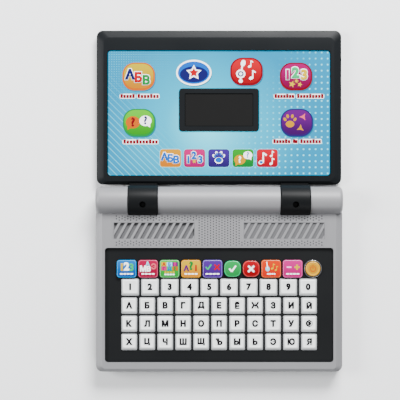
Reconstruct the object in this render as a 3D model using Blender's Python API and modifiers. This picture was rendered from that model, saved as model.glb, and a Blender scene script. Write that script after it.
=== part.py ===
"""Toy laptop computer for small children, lying open flat, with its lid turned right back.

The frame is in metres with +Z up. The origin is on the floor under the middle of the open toy, the keyboard
half reaches towards -Y and the lid towards +Y, and the lid turns on pins that run along X above the origin.
"""

import math

import bmesh
import bpy
from mathutils import Matrix

MM = 0.001
GAP = 0.3 * MM  # between pieces that touch on the real toy

# Keys. Every row is centred, with equal gaps between its caps.
KEY_GAP = 1.8 * MM
LETTER_GAP = 1.94 * MM
BUTTON_ROW_GAP = 1.1 * MM  # buttons to digits
ROW_GAP = 1.7 * MM  # between the other rows
KEY_CLEARANCE = 0.25 * MM
KEY_EAR = 0.3 * MM  # how far a cap's foot catches under the panel
BUTTON_WIDTH = 18.3 * MM
BUTTON_DEPTH = 16.4 * MM
ANSWER_WIDTH = 15.6 * MM
ANSWER_DEPTH = 14.9 * MM
POWER_RADIUS = 7 * MM
POWER_RING = 1 * MM
DIGIT_WIDTH = 16.7 * MM
DIGIT_DEPTH = 16 * MM
LETTER_WIDTH = 14.9 * MM
LETTER_DEPTH = 15.3 * MM
LETTERS_IN_ROW = 11
LETTER_ROWS = ("upper", "middle", "lower")
BUTTONS = (
    ("arithmetic_button", BUTTON_WIDTH),
    ("alphabet_button", BUTTON_WIDTH),
    ("tile_words_button", BUTTON_WIDTH),
    ("question_button", BUTTON_WIDTH),
    ("quiz_button", BUTTON_WIDTH),
    ("yes_button", ANSWER_WIDTH),
    ("no_button", ANSWER_WIDTH),
    ("music_button", BUTTON_WIDTH),
    ("volume_button", BUTTON_WIDTH),
    ("power_button", 2 * (POWER_RADIUS + POWER_RING)),
)
BUTTON_WIDTHS = [width for _, width in BUTTONS]
DIGIT_WIDTHS = [DIGIT_WIDTH] * 10
LETTER_WIDTHS = [LETTER_WIDTH] * LETTERS_IN_ROW


def row_length(widths, gap):
    return sum(widths) + gap * (len(widths) - 1)


# Spine and hinges: two knuckles on the lid turn on pins held in the cheeks of the spine.
FOOT_HEIGHT = 2.5 * MM
SPINE_RADIUS = 13 * MM
SPINE_END_ROUND = 4 * MM
AXIS_HEIGHT = FOOT_HEIGHT + SPINE_RADIUS
KNUCKLE_X = 71.3 * MM
KNUCKLE_WIDTH = 28 * MM
KNUCKLE_RADIUS = SPINE_RADIUS + 1.5 * MM
KNUCKLE_PLAY = 0.5 * MM
SLOT_WIDTH = KNUCKLE_WIDTH + 2 * KNUCKLE_PLAY
SLOT_RADIUS = KNUCKLE_RADIUS + KNUCKLE_PLAY
CHEEK = 2.2 * MM
PIN_RADIUS = 3 * MM
PIN_BORE = PIN_RADIUS + GAP
NECK_REACH = KNUCKLE_RADIUS + 1.7 * MM
ARM_LENGTH = 19 * MM
ARM_THICKNESS = 2.2 * MM

# Keyboard half: two housings that meet at a parting line.
WALL = 2.2 * MM
DECK_RISE = 4.5 * MM  # deck above the hinge axis
PARTING_DROP = 5 * MM  # parting line below the hinge axis
SIDE_SLOPE = 6 * MM
FRONT_SLOPE = 3 * MM
SLOPE_DROP = 3.5 * MM
LOWER_EDGE = 2 * MM
PLAN_CORNER = 6 * MM
DECK_TOP = AXIS_HEIGHT + DECK_RISE
PARTING = AXIS_HEIGHT - PARTING_DROP
FLOOR = FOOT_HEIGHT + 2 * MM  # inner face of the bottom housing

# Speaker grille in the deck, between the spine and the keyboard.
GRILLE_SIDE = 15.5 * MM  # from the case's side
GRILLE_BACK = math.sqrt(SPINE_RADIUS**2 - DECK_RISE**2) + 0.7 * MM  # from where the deck meets the spine
GRILLE_DEPTH = 29.8 * MM
GRILLE_RECESS = 0.4 * MM
WINDOW_INNER = 23.3 * MM
WINDOW_MARGIN = 1.6 * MM
WINDOW_FRONT_MARGIN = 7 * MM
WINDOW_BACK_MARGIN = 8 * MM
GRILLE_PITCH = 6.45 * MM
GRILLE_SLOT = 4.0 * MM
SLOT_LEAN = math.radians(29)
BLIND_SLOT = 1.0 * MM

# Keyboard well and the black panel that lies in it. The keys and these margins set the size of the case.
WELL_BACK = GRILLE_BACK + GRILLE_DEPTH + 1.5 * MM
KEY_MARGIN_SIDE = 11.25 * MM
KEY_MARGIN_BACK = 11.5 * MM
KEY_MARGIN_FRONT = 11.3 * MM
WELL_SIDE_RIM = 8.5 * MM
WELL_FRONT_RIM = 9 * MM
WELL_CORNER = 2.5 * MM
WELL_WALL = 1.2 * MM
LEDGE = 1.5 * MM
LEDGE_THICKNESS = 1.0 * MM
PANEL_DROP = 2.5 * MM  # panel face below the deck
PANEL_THICKNESS = 2.2 * MM
PANEL_TOP = DECK_TOP - PANEL_DROP
PANEL_BOTTOM = PANEL_TOP - PANEL_THICKNESS
FOOT_THICKNESS = 1.2 * MM
KEY_FOOT_TOP = PANEL_BOTTOM - GAP
KEY_FOOT_BOTTOM = KEY_FOOT_TOP - FOOT_THICKNESS
KEY_TOP = DECK_TOP + 0.4 * MM
KEY_SHOULDER = PANEL_TOP + 0.5 * MM

BUTTON_ROW_Y = -(WELL_BACK + KEY_MARGIN_BACK + BUTTON_DEPTH / 2)
DIGIT_ROW_Y = BUTTON_ROW_Y - BUTTON_DEPTH / 2 - BUTTON_ROW_GAP - DIGIT_DEPTH / 2
FIRST_LETTER_ROW_Y = DIGIT_ROW_Y - DIGIT_DEPTH / 2 - ROW_GAP - LETTER_DEPTH / 2
LETTER_ROWS_Y = [FIRST_LETTER_ROW_Y - index * (LETTER_DEPTH + ROW_GAP) for index in range(len(LETTER_ROWS))]
KEYS_HALF_WIDTH = max(
    row_length(BUTTON_WIDTHS, KEY_GAP),
    row_length(DIGIT_WIDTHS, KEY_GAP),
    row_length(LETTER_WIDTHS, LETTER_GAP),
) / 2
KEYS_FRONT = LETTER_ROWS_Y[-1] - LETTER_DEPTH / 2
WELL_HALF_WIDTH = KEYS_HALF_WIDTH + KEY_MARGIN_SIDE
HALF_WIDTH = WELL_HALF_WIDTH + WELL_SIDE_RIM
FRONT = KEYS_FRONT - KEY_MARGIN_FRONT - WELL_FRONT_RIM
GRILLE_HALF_WIDTH = HALF_WIDTH - GRILLE_SIDE
WINDOW_OUTER = GRILLE_HALF_WIDTH - WINDOW_MARGIN
WINDOW_FRONT = GRILLE_BACK + GRILLE_DEPTH - WINDOW_FRONT_MARGIN
WINDOW_BACK = GRILLE_BACK + WINDOW_BACK_MARGIN

# Inside the keyboard half.
BOARD_THICKNESS = 1.6 * MM
BOARD_BOTTOM = FLOOR + 2.2 * MM
SHEET_THICKNESS = 0.8 * MM
SHEET_BOTTOM = BOARD_BOTTOM + BOARD_THICKNESS + GAP
DOME_RADIUS = 3.6 * MM
CELL_RADIUS = 5.25 * MM
CELL_LENGTH = 44.5 * MM
CELL_PITCH = 11 * MM
CELL_END_PITCH = CELL_LENGTH + 0.6 * MM
BAY_X = 22 * MM
FIRST_CELL_Y = -(SLOT_RADIUS + CHEEK + 1.45 * MM + CELL_RADIUS)
DOOR_THICKNESS = 1.6 * MM
SPEAKER_RADIUS = 12 * MM
SCREEN_LAP = 2 * MM
SCREEN_THICKNESS = 0.6 * MM
SCREW_RADIUS = 1.2 * MM
HEAD_RADIUS = 2.6 * MM
FOOT_RADIUS = 5 * MM

# Lid: a back cover and a front frame, with a printed plate and a display in the frame. Closed, its face
# clears the deck and its far edge lines up with the keyboard half's front edge.
LID_CLEARANCE = 1 * MM
LID_THICKNESS = 9 * MM
LID_FACE = 2 * AXIS_HEIGHT - DECK_TOP - LID_CLEARANCE
LID_BACK_Z = LID_FACE - LID_THICKNESS
LID_PARTING = LID_BACK_Z + 4 * MM
LID_HINGE_EDGE = KNUCKLE_RADIUS + 0.5 * MM
LID_FAR_EDGE = -FRONT
LID_SLOPE = 6.5 * MM
LID_EDGE_DROP = 2.6 * MM
LID_WALL = 2 * MM
LABEL_SIDE_BORDER = 10.4 * MM
LABEL_NEAR_BORDER = 8.4 * MM
LABEL_FAR_BORDER = 18.6 * MM
LABEL_CORNER = 3 * MM
LABEL_DROP = 1.2 * MM
LABEL_THICKNESS = 0.5 * MM
DISPLAY_Y = 85.6 * MM
BEZEL_WIDTH = 75.4 * MM
BEZEL_DEPTH = 40.4 * MM
BEZEL_RISE = 1.0 * MM  # above the printed plate
GLASS_WIDTH = 64.5 * MM
GLASS_DEPTH = 31 * MM

for leftover in list(bpy.data.objects):
    bpy.data.objects.remove(leftover)

parts = bpy.data.collections.new("toy_laptop")
cutters = bpy.data.collections.new("cutters")
bpy.context.scene.collection.children.link(parts)
bpy.context.scene.collection.children.link(cutters)


def finish(name, colour, roughness, metallic=0.0):
    """A plain material in the piece's own colour."""
    material = bpy.data.materials.new(name)
    material.use_nodes = True
    shader = material.node_tree.nodes["Principled BSDF"]
    shader.inputs["Base Color"].default_value = (*colour, 1)
    shader.inputs["Roughness"].default_value = roughness
    shader.inputs["Metallic"].default_value = metallic
    return material


SILVER = finish("silver plastic", (0.40, 0.40, 0.41), 0.38, 0.3)
BLACK = finish("black plastic", (0.015, 0.017, 0.02), 0.42)
WHITE = finish("white key plastic", (0.80, 0.83, 0.82), 0.35)
PRINT = finish("printed plate", (0.20, 0.62, 0.78), 0.3)
GLASS = finish("display glass", (0.02, 0.02, 0.022), 0.08)
RUBBER = finish("black rubber", (0.02, 0.02, 0.02), 0.85)
SILICONE = finish("grey silicone", (0.45, 0.45, 0.43), 0.7)
BOARD = finish("green circuit board", (0.02, 0.16, 0.06), 0.45)
STEEL = finish("plated steel", (0.62, 0.62, 0.60), 0.3, 1.0)
CELL = finish("battery sleeve", (0.02, 0.09, 0.30), 0.35)
PAPER = finish("speaker paper", (0.05, 0.05, 0.05), 0.9)


class Outline:
    """A rectangle in plan with rounded corners: x from left to right, y from front to back."""

    def __init__(self, left, right, front, back, corner=0.0):
        self.left, self.right, self.front, self.back = left, right, front, back
        self.corner = corner

    def inset(self, by_x, by_y=None, corner=None):
        by_y = by_x if by_y is None else by_y
        corner = max(self.corner - max(by_x, by_y), 0.0) if corner is None else corner
        return Outline(self.left + by_x, self.right - by_x, self.front + by_y, self.back - by_y, corner)

    def points(self, steps):
        sides = (
            (self.right, self.back),
            (self.left, self.back),
            (self.left, self.front),
            (self.right, self.front),
        )
        found = []
        for quarter, (x, y) in enumerate(sides):
            centre_x = x - math.copysign(self.corner, x - (self.left + self.right) / 2)
            centre_y = y - math.copysign(self.corner, y - (self.front + self.back) / 2)
            for step in range(steps + 1):
                angle = math.pi / 2 * (quarter + step / steps)
                turn = (self.corner * math.cos(angle), self.corner * math.sin(angle))
                found.append((centre_x + turn[0], centre_y + turn[1]))
        return found


def centred(x, y, width, depth, corner=0.0):
    return Outline(x - width / 2, x + width / 2, y - depth / 2, y + depth / 2, corner)


def add_loft(shape, sections, steps=1):
    """Adds a closed solid through outlines, given as (outline, height) from the bottom up."""
    rings = [[shape.verts.new((x, y, z)) for x, y in outline.points(steps)] for outline, z in sections]
    for lower, upper in zip(rings, rings[1:]):
        for index, corner in enumerate(lower):
            follower = (index + 1) % len(lower)
            shape.faces.new((corner, lower[follower], upper[follower], upper[index]))
    shape.faces.new(reversed(rings[0]))
    shape.faces.new(rings[-1])


def add_cylinder(shape, radius, centre, length, along="Z", segments=24):
    """Adds a cylinder whose middle is at centre."""
    turn = {"X": Matrix.Rotation(math.pi / 2, 3, "Y"), "Y": Matrix.Rotation(math.pi / 2, 3, "X")}
    made = bmesh.ops.create_cone(
        shape, cap_ends=True, segments=segments, radius1=radius, radius2=radius, depth=length
    )
    if along in turn:
        bmesh.ops.rotate(shape, verts=made["verts"], cent=(0, 0, 0), matrix=turn[along])
    bmesh.ops.translate(shape, verts=made["verts"], vec=centre)


def solid(name, shape, material=None, origin=(0, 0, 0)):
    """Makes an object of a shape. Without a material it is a hidden cutter."""
    bmesh.ops.remove_doubles(shape, verts=shape.verts, dist=0.001 * MM)
    bmesh.ops.recalc_face_normals(shape, faces=shape.faces)
    bmesh.ops.translate(shape, verts=shape.verts, vec=[-value for value in origin])
    mesh = bpy.data.meshes.new(name)
    shape.to_mesh(mesh)
    shape.free()
    mesh.shade_smooth()
    mesh.set_sharp_from_angle(angle=math.radians(35))
    made = bpy.data.objects.new(name, mesh)
    made.location = origin
    if material is None:
        made.hide_render = True
        made.display_type = "WIRE"
        cutters.objects.link(made)
    else:
        mesh.materials.append(material)
        parts.objects.link(made)
    return made


def plate(name, outline, bottom, top, material=None, steps=2):
    """A flat plate."""
    shape = bmesh.new()
    add_loft(shape, [(outline, bottom), (outline, top)], steps)
    return solid(name, shape, material)


def cylinders(name, radius, centres, length, along="Z", segments=24, material=None):
    """Equal cylinders in one object."""
    shape = bmesh.new()
    for centre in centres:
        add_cylinder(shape, radius, centre, length, along, segments)
    return solid(name, shape, material)


def boolean(body, operation, others):
    for other in others:
        modifier = body.modifiers.new(f"{operation.lower()} {other.name}", "BOOLEAN")
        modifier.operation = operation
        modifier.object = other


def cut(body, *others):
    boolean(body, "DIFFERENCE", others)


def join(body, *others):
    boolean(body, "UNION", others)


def turned(name, profile, material, centre, steps=24):
    """A turned piece. The profile's (radius, height) points run down its outer side from the axis."""
    shape = bmesh.new()
    closed = profile[0] == profile[-1]
    points = [shape.verts.new((radius, 0, height)) for radius, height in (profile[:-1] if closed else profile)]
    for upper, lower in zip(points, points[1:] + points[:1] if closed else points[1:]):
        shape.edges.new((upper, lower))
    mesh = bpy.data.meshes.new(name)
    shape.to_mesh(mesh)
    shape.free()
    mesh.materials.append(material)
    made = bpy.data.objects.new(name, mesh)
    made.location = centre
    screw = made.modifiers.new("turn", "SCREW")
    screw.steps = screw.render_steps = steps
    screw.use_merge_vertices = True
    screw.merge_threshold = 0.001 * MM
    parts.objects.link(made)
    return made


def mirrored(positions):
    return [(side * x, y, z) for side in (-1, 1) for x, y, z in positions]


# ---- The keyboard half's outer form, shared by its two housings ------------------------------------------
base_plan = Outline(-HALF_WIDTH, HALF_WIDTH, FRONT, -SPINE_RADIUS / 2, PLAN_CORNER)
deck_plan = Outline(-HALF_WIDTH + SIDE_SLOPE, HALF_WIDTH - SIDE_SLOPE, FRONT + FRONT_SLOPE, 0, FRONT_SLOPE)
screw_x = HALF_WIDTH - WALL - SCREW_RADIUS - 1.7 * MM
SCREW_POSITIONS = mirrored([(screw_x, -30 * MM, 0), (screw_x, FRONT + 10.5 * MM, 0)])


def spine(name, radius, length, end_round):
    """The round spine, with its ends rounded over."""
    shape = bmesh.new()
    add_cylinder(shape, radius, (0, 0, AXIS_HEIGHT), length, "X", 40)
    made = solid(name, shape)
    if end_round:
        bevel = made.modifiers.new("end round", "BEVEL")
        bevel.width = end_round
        bevel.segments = 2
        bevel.limit_method = "ANGLE"
        bevel.angle_limit = math.radians(60)
    return made


def half_space(name, bottom, top):
    margin = 20 * MM
    room = Outline(-HALF_WIDTH - margin, HALF_WIDTH + margin, FRONT - margin, SPINE_RADIUS + margin)
    return plate(name, room, bottom, top)


def base_form(name, material):
    """The whole outer form of the keyboard half, solid, before its inside is taken out."""
    shape = bmesh.new()
    add_loft(shape, [
        (base_plan.inset(LOWER_EDGE, corner=PLAN_CORNER), FOOT_HEIGHT),
        (base_plan, FOOT_HEIGHT + LOWER_EDGE),
        (base_plan, DECK_TOP - SLOPE_DROP),
        (deck_plan, DECK_TOP),
    ], steps=4)
    return solid(name, shape, material)


knuckle_centres = mirrored([(KNUCKLE_X, 0, AXIS_HEIGHT)])
whole_spine = spine("spine_form", SPINE_RADIUS, 2 * HALF_WIDTH, SPINE_END_ROUND)
knuckle_slots = cylinders("knuckle_slots", SLOT_RADIUS, knuckle_centres, SLOT_WIDTH, "X", 40)
knuckle_rooms = cylinders("knuckle_rooms", SLOT_RADIUS + CHEEK, knuckle_centres, SLOT_WIDTH + 2 * CHEEK, "X", 24)

well = Outline(-WELL_HALF_WIDTH, WELL_HALF_WIDTH, FRONT + WELL_FRONT_RIM, -WELL_BACK, WELL_CORNER)
panel_seat = PANEL_BOTTOM - GAP
ledge_bottom = panel_seat - LEDGE_THICKNESS
well_block = plate("well_block", well.inset(-WELL_WALL, corner=WELL_CORNER), ledge_bottom, DECK_TOP)
post_bottom = PARTING + GAP
screw_posts = cylinders(
    "screw_posts", SCREW_RADIUS + 1.8 * MM,
    [(x, y, (post_bottom + DECK_TOP) / 2) for x, y, _ in SCREW_POSITIONS], DECK_TOP - post_bottom, segments=12,
)

hollow_plan = Outline(-HALF_WIDTH + WALL, HALF_WIDTH - WALL, FRONT + WALL, 0, PLAN_CORNER - WALL)
hollow = plate("base_hollow", hollow_plan, FLOOR, DECK_TOP - WALL)
hollow_spine = spine("hollow_spine", SPINE_RADIUS - WALL, 2 * (HALF_WIDTH - SPINE_END_ROUND - WALL), 0)
join(hollow, hollow_spine)
cut(hollow, knuckle_rooms)
top_hollow = plate("top_hollow", hollow_plan, PARTING - 1 * MM, DECK_TOP - WALL)
join(top_hollow, hollow_spine)
cut(top_hollow, knuckle_rooms, well_block, screw_posts)

# ---- Top housing: silver deck and upper spine, with the keyboard well and the speaker grille --------------
top_housing = base_form("base_top_housing", SILVER)
below_parting = half_space("below_parting", -5 * MM, PARTING + GAP / 2)
above_parting = half_space("above_parting", PARTING - GAP / 2, 60 * MM)
well_opening = plate("well_opening", well, panel_seat, DECK_TOP + 5 * MM)
ledge_opening = plate("ledge_opening", well.inset(LEDGE), ledge_bottom - 5 * MM, DECK_TOP)
grille_field = plate(
    "grille_field",
    Outline(-GRILLE_HALF_WIDTH, GRILLE_HALF_WIDTH, -GRILLE_BACK - GRILLE_DEPTH, -GRILLE_BACK, 2 * MM),
    DECK_TOP - GRILLE_RECESS, DECK_TOP + 3 * MM,
)
pin_bores = cylinders(
    "pin_bores", PIN_BORE, knuckle_centres, SLOT_WIDTH + 4 * CHEEK, "X", 16
)
screw_end = PARTING + 5 * MM
pilot_holes = cylinders(
    "pilot_holes", SCREW_RADIUS + GAP,
    [(x, y, (screw_end + 1 * MM) / 2) for x, y, _ in SCREW_POSITIONS], screw_end + 1 * MM, segments=8,
)


def slots(name, left, right, depth):
    """Leaning slots that fill a window, cut off square at its two ends."""
    lean = math.tan(SLOT_LEAN) * (WINDOW_FRONT - WINDOW_BACK)
    floor, top = DECK_TOP - GRILLE_RECESS - depth, DECK_TOP + 2 * MM
    count = math.ceil((right - left + lean) / GRILLE_PITCH)
    shape = bmesh.new()
    for index in range(count):
        foot = left - lean + index * GRILLE_PITCH
        bar = bmesh.ops.create_cube(shape, size=1)["verts"]
        for corner in bar:
            is_right, is_back, is_top = (value > 0 for value in corner.co)
            corner.co.x = foot + (GRILLE_SLOT if is_right else 0) + (lean if is_back else 0)
            corner.co.y = -WINDOW_BACK if is_back else -WINDOW_FRONT
            corner.co.z = top if is_top else floor
    made = solid(name, shape)
    room = plate(f"{name}_window", Outline(left, right, -WINDOW_FRONT - 1 * MM, 0), 0, 2 * DECK_TOP)
    boolean(made, "INTERSECT", [room])
    return made


open_slots = slots("open_slots", -WINDOW_OUTER, -WINDOW_INNER, WALL + 1 * MM)
blind_slots = slots("blind_slots", WINDOW_INNER, WINDOW_OUTER, BLIND_SLOT)
join(top_housing, whole_spine)
cut(top_housing, top_hollow, below_parting, knuckle_slots, pin_bores, well_opening, ledge_opening)
cut(top_housing, pilot_holes, grille_field, open_slots, blind_slots)

# ---- Bottom housing: black tray with screw posts, board rests and the battery bay -------------------------
bay_front = FIRST_CELL_Y - CELL_PITCH - CELL_RADIUS - 1.3 * MM
bay_back = FIRST_CELL_Y + CELL_RADIUS + 0.3 * MM
bay_half_length = CELL_END_PITCH / 2 + CELL_LENGTH / 2 + 2.8 * MM
bay = Outline(BAY_X - bay_half_length, BAY_X + bay_half_length, bay_front, bay_back)
door_tab = 8.5 * MM
door_edge = 1.5 * MM
door = Outline(bay.left - door_edge, bay.right + door_edge, bay.front - door_tab, bay.back + door_edge, 2 * MM)
door_screw_y = bay.front - door_tab / 2 - 0.75 * MM
door_ceiling = FOOT_HEIGHT + DOOR_THICKNESS + GAP

bottom_housing = base_form("base_bottom_housing", BLACK)
bay_walls = plate("bay_walls", bay.inset(-1.2 * MM), FOOT_HEIGHT + 1 * MM, PARTING - GAP)
bay_opening = plate("bay_opening", bay, -1 * MM, AXIS_HEIGHT)
door_recess = plate("door_recess", door.inset(-GAP, corner=2 * MM), -1 * MM, door_ceiling)
boss_height = PARTING - GAP - FLOOR + 0.5 * MM
bosses = cylinders(
    "bosses", HEAD_RADIUS + 1.4 * MM,
    [(x, y, PARTING - GAP - boss_height / 2) for x, y, _ in SCREW_POSITIONS], boss_height, segments=12,
)
counterbores = cylinders(
    "counterbores", HEAD_RADIUS + GAP, [(x, y, FOOT_HEIGHT) for x, y, _ in SCREW_POSITIONS], 6 * MM, segments=12
)
board_rest_height = BOARD_BOTTOM - GAP - FLOOR
board_side = KEYS_HALF_WIDTH - 1.8 * MM
board = Outline(-board_side, board_side, KEYS_FRONT - 2.2 * MM, bay.front - 1.6 * MM, 2 * MM)
board_rest_centres = mirrored([(board.right - 4 * MM, y, 0) for y in (board.front + 4 * MM, board.back - 5 * MM)])
board_rests = cylinders(
    "board_rests", 2.5 * MM,
    [(x, y, BOARD_BOTTOM - GAP - board_rest_height / 2 - 0.25 * MM) for x, y, _ in board_rest_centres],
    board_rest_height + 0.5 * MM, segments=8,
)
door_boss_height = BOARD_BOTTOM - GAP - FOOT_HEIGHT - 1 * MM
door_boss = cylinders(
    "door_boss", 3.4 * MM, [(BAY_X, door_screw_y, BOARD_BOTTOM - GAP - door_boss_height / 2)], door_boss_height,
    segments=12,
)
door_pilot = cylinders("door_pilot", SCREW_RADIUS + GAP, [(BAY_X, door_screw_y, FOOT_HEIGHT)], 7.2 * MM, segments=12)
join(bottom_housing, whole_spine)
cut(bottom_housing, hollow, above_parting, knuckle_slots)
join(bottom_housing, bay_walls, bosses, board_rests, door_boss)
cut(bottom_housing, bay_opening, door_recess, counterbores, pilot_holes, door_pilot)

for index, (x, y, _) in enumerate(SCREW_POSITIONS):
    head_top = FOOT_HEIGHT + 3 * MM - GAP
    profile = [
        (0, screw_end), (SCREW_RADIUS, screw_end), (SCREW_RADIUS, head_top),
        (HEAD_RADIUS, head_top), (HEAD_RADIUS, head_top - 1.2 * MM), (HEAD_RADIUS - 0.6 * MM, head_top - 1.8 * MM),
        (0, head_top - 1.8 * MM),
    ]
    turned(f"base_screw_{index + 1}", profile, STEEL, (x, y, 0), steps=8)

foot_top = FOOT_HEIGHT - GAP
foot_x = HALF_WIDTH - 20 * MM
for index, (x, y, _) in enumerate(mirrored([(foot_x, -24 * MM, 0), (foot_x, FRONT + 10.5 * MM, 0)])):
    profile = [(0, foot_top), (FOOT_RADIUS, foot_top), (FOOT_RADIUS, 0.7 * MM), (FOOT_RADIUS - 0.7 * MM, 0), (0, 0)]
    turned(f"rubber_foot_{index + 1}", profile, RUBBER, (x, y, 0), steps=16)

# ---- Battery door, its screw, four cells and the two contact plates ---------------------------------------
battery_door = plate("battery_door", door, FOOT_HEIGHT, FOOT_HEIGHT + DOOR_THICKNESS, BLACK)
door_head = cylinders("door_head", HEAD_RADIUS + GAP, [(BAY_X, door_screw_y, FOOT_HEIGHT)], 1.6 * MM, segments=16)
cut(battery_door, door_pilot, door_head)
turned(
    "battery_door_screw",
    [
        (0, FOOT_HEIGHT + 3.2 * MM), (SCREW_RADIUS, FOOT_HEIGHT + 3.2 * MM), (SCREW_RADIUS, FOOT_HEIGHT + 0.5 * MM),
        (HEAD_RADIUS, FOOT_HEIGHT + 0.5 * MM), (HEAD_RADIUS, FOOT_HEIGHT), (0, FOOT_HEIGHT),
    ],
    STEEL, (BAY_X, door_screw_y, 0), steps=12,
)
cell_z = FOOT_HEIGHT + DOOR_THICKNESS + GAP + CELL_RADIUS
for index in range(4):
    line, place = divmod(index, 2)
    positive_end = 1 if line == 0 else -1
    x = BAY_X + (place - 0.5) * CELL_END_PITCH
    y = FIRST_CELL_Y - line * CELL_PITCH
    shape = bmesh.new()
    add_cylinder(shape, CELL_RADIUS, (x - positive_end * 0.5 * MM, y, cell_z), CELL_LENGTH - 1 * MM, "X", 20)
    cell = solid(f"battery_cell_{index + 1}", shape, CELL)
    nub_centre = (x + positive_end * (CELL_LENGTH / 2 - 1 * MM), y, cell_z)
    join(cell, cylinders(f"cell_nub_{index + 1}", 1.9 * MM, [nub_centre], 2 * MM, "X", 12))
for side, name in ((-1, "battery_contact_left"), (1, "battery_contact_right")):
    x = BAY_X + side * (CELL_END_PITCH / 2 + CELL_LENGTH / 2 + 1.3 * MM)
    contact = Outline(x - 0.2 * MM, x + 0.2 * MM, bay.front + 1 * MM, bay.back - 0.8 * MM)
    plate(name, contact, cell_z - 4 * MM, cell_z + 3.5 * MM, STEEL)

# ---- Keyboard panel and keys ------------------------------------------------------------------------------


def row(widths, gap):
    """Centres of a centred row of caps with equal gaps."""
    left = -row_length(widths, gap) / 2
    centres = []
    for width in widths:
        centres.append(left + width / 2)
        left += width + gap
    return centres


button_centres = row(BUTTON_WIDTHS, KEY_GAP)
digit_centres = row(DIGIT_WIDTHS, KEY_GAP)
letter_centres = row(LETTER_WIDTHS, LETTER_GAP)
power_x = button_centres[-1]


def button_size(width):
    """Depth and corner radius of a function button of this width."""
    return (ANSWER_DEPTH, 5.2 * MM) if width == ANSWER_WIDTH else (BUTTON_DEPTH, 2.5 * MM)


panel_plan = well.inset(GAP, corner=WELL_CORNER - GAP)
panel = plate("keyboard_panel", panel_plan, PANEL_BOTTOM, PANEL_TOP, BLACK)
holes = bmesh.new()
for (name, width), x in zip(BUTTONS, button_centres):
    if name != "power_button":
        depth, corner = button_size(width)
        plan = centred(x, BUTTON_ROW_Y, width, depth, corner).inset(-KEY_CLEARANCE, corner=corner)
        add_loft(holes, [(plan, 0), (plan, 2 * DECK_TOP)], 2)
add_cylinder(holes, POWER_RADIUS + KEY_CLEARANCE, (power_x, BUTTON_ROW_Y, DECK_TOP), 2 * DECK_TOP)
for x in digit_centres:
    plan = centred(x, DIGIT_ROW_Y, DIGIT_WIDTH, DIGIT_DEPTH, 1.5 * MM).inset(-KEY_CLEARANCE, corner=1.5 * MM)
    add_loft(holes, [(plan, 0), (plan, 2 * DECK_TOP)])
for y in LETTER_ROWS_Y:
    for x in letter_centres:
        plan = centred(x, y, LETTER_WIDTH, LETTER_DEPTH, 1.4 * MM).inset(-KEY_CLEARANCE, corner=1.4 * MM)
        add_loft(holes, [(plan, 0), (plan, 2 * DECK_TOP)])
cut(panel, solid("key_holes", holes))

foot_margin = KEY_CLEARANCE + KEY_EAR
for (name, width), x in zip(BUTTONS[:-1], button_centres):
    shape = bmesh.new()
    depth, corner = button_size(width)
    plan = centred(x, BUTTON_ROW_Y, width, depth, corner)
    foot = plan.inset(-foot_margin, -0.1 * MM, corner)
    add_loft(shape, [
        (foot, KEY_FOOT_BOTTOM), (foot, KEY_FOOT_TOP), (plan, KEY_FOOT_TOP), (plan, KEY_TOP - 1.0 * MM),
        (plan.inset(0.8 * MM, corner=corner), KEY_TOP - 0.3 * MM),
        (plan.inset(2.6 * MM, corner=corner * 0.6), KEY_TOP),
    ], 2)
    solid(name, shape, WHITE, (x, BUTTON_ROW_Y, KEY_FOOT_BOTTOM))

power_foot = POWER_RADIUS + foot_margin
turned(
    "power_button",
    [
        (0, KEY_TOP + 0.2 * MM), (POWER_RADIUS - 2 * MM, KEY_TOP), (POWER_RADIUS - 0.5 * MM, KEY_TOP - 0.5 * MM),
        (POWER_RADIUS, KEY_TOP - 1.2 * MM), (POWER_RADIUS, KEY_FOOT_TOP), (power_foot, KEY_FOOT_TOP),
        (power_foot, KEY_FOOT_BOTTOM), (0, KEY_FOOT_BOTTOM),
    ],
    finish("yellow plastic", (0.85, 0.55, 0.03), 0.35), (power_x, BUTTON_ROW_Y, 0), steps=20,
)
ring_inner = POWER_RADIUS + KEY_CLEARANCE
ring_bottom = PANEL_TOP + GAP
turned(
    "power_button_ring",
    [
        (ring_inner, ring_bottom + 1.2 * MM), (ring_inner + 0.9 * MM, ring_bottom + 1.2 * MM),
        (ring_inner + 1.4 * MM, ring_bottom + 0.7 * MM), (ring_inner + 1.4 * MM, ring_bottom),
        (ring_inner, ring_bottom), (ring_inner, ring_bottom + 1.2 * MM),
    ],
    BLACK, (power_x, BUTTON_ROW_Y, 0), steps=20,
)


def cap_sections(plan, foot_sections):
    """A typing cap: its foot, then upright sides, sloping sides and a dished top set back from the front."""
    land = Outline(plan.left + 2 * MM, plan.right - 2 * MM, plan.front + 2.8 * MM, plan.back - 1.7 * MM, 1.8 * MM)
    return foot_sections + [
        (plan, KEY_SHOULDER), (land, KEY_TOP), (land.inset(2.4 * MM, corner=1.4 * MM), KEY_TOP - 0.45 * MM),
    ]


for digit, x in zip((1, 2, 3, 4, 5, 6, 7, 8, 9, 0), digit_centres):
    plan = centred(x, DIGIT_ROW_Y, DIGIT_WIDTH, DIGIT_DEPTH, 1.5 * MM)
    foot = plan.inset(-foot_margin, -0.1 * MM, 1.5 * MM)
    shape = bmesh.new()
    add_loft(shape, cap_sections(plan, [(foot, KEY_FOOT_BOTTOM), (foot, KEY_FOOT_TOP), (plan, KEY_FOOT_TOP)]))
    solid(f"digit_key_{digit}", shape, WHITE, (x, DIGIT_ROW_Y, KEY_FOOT_BOTTOM))

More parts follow.
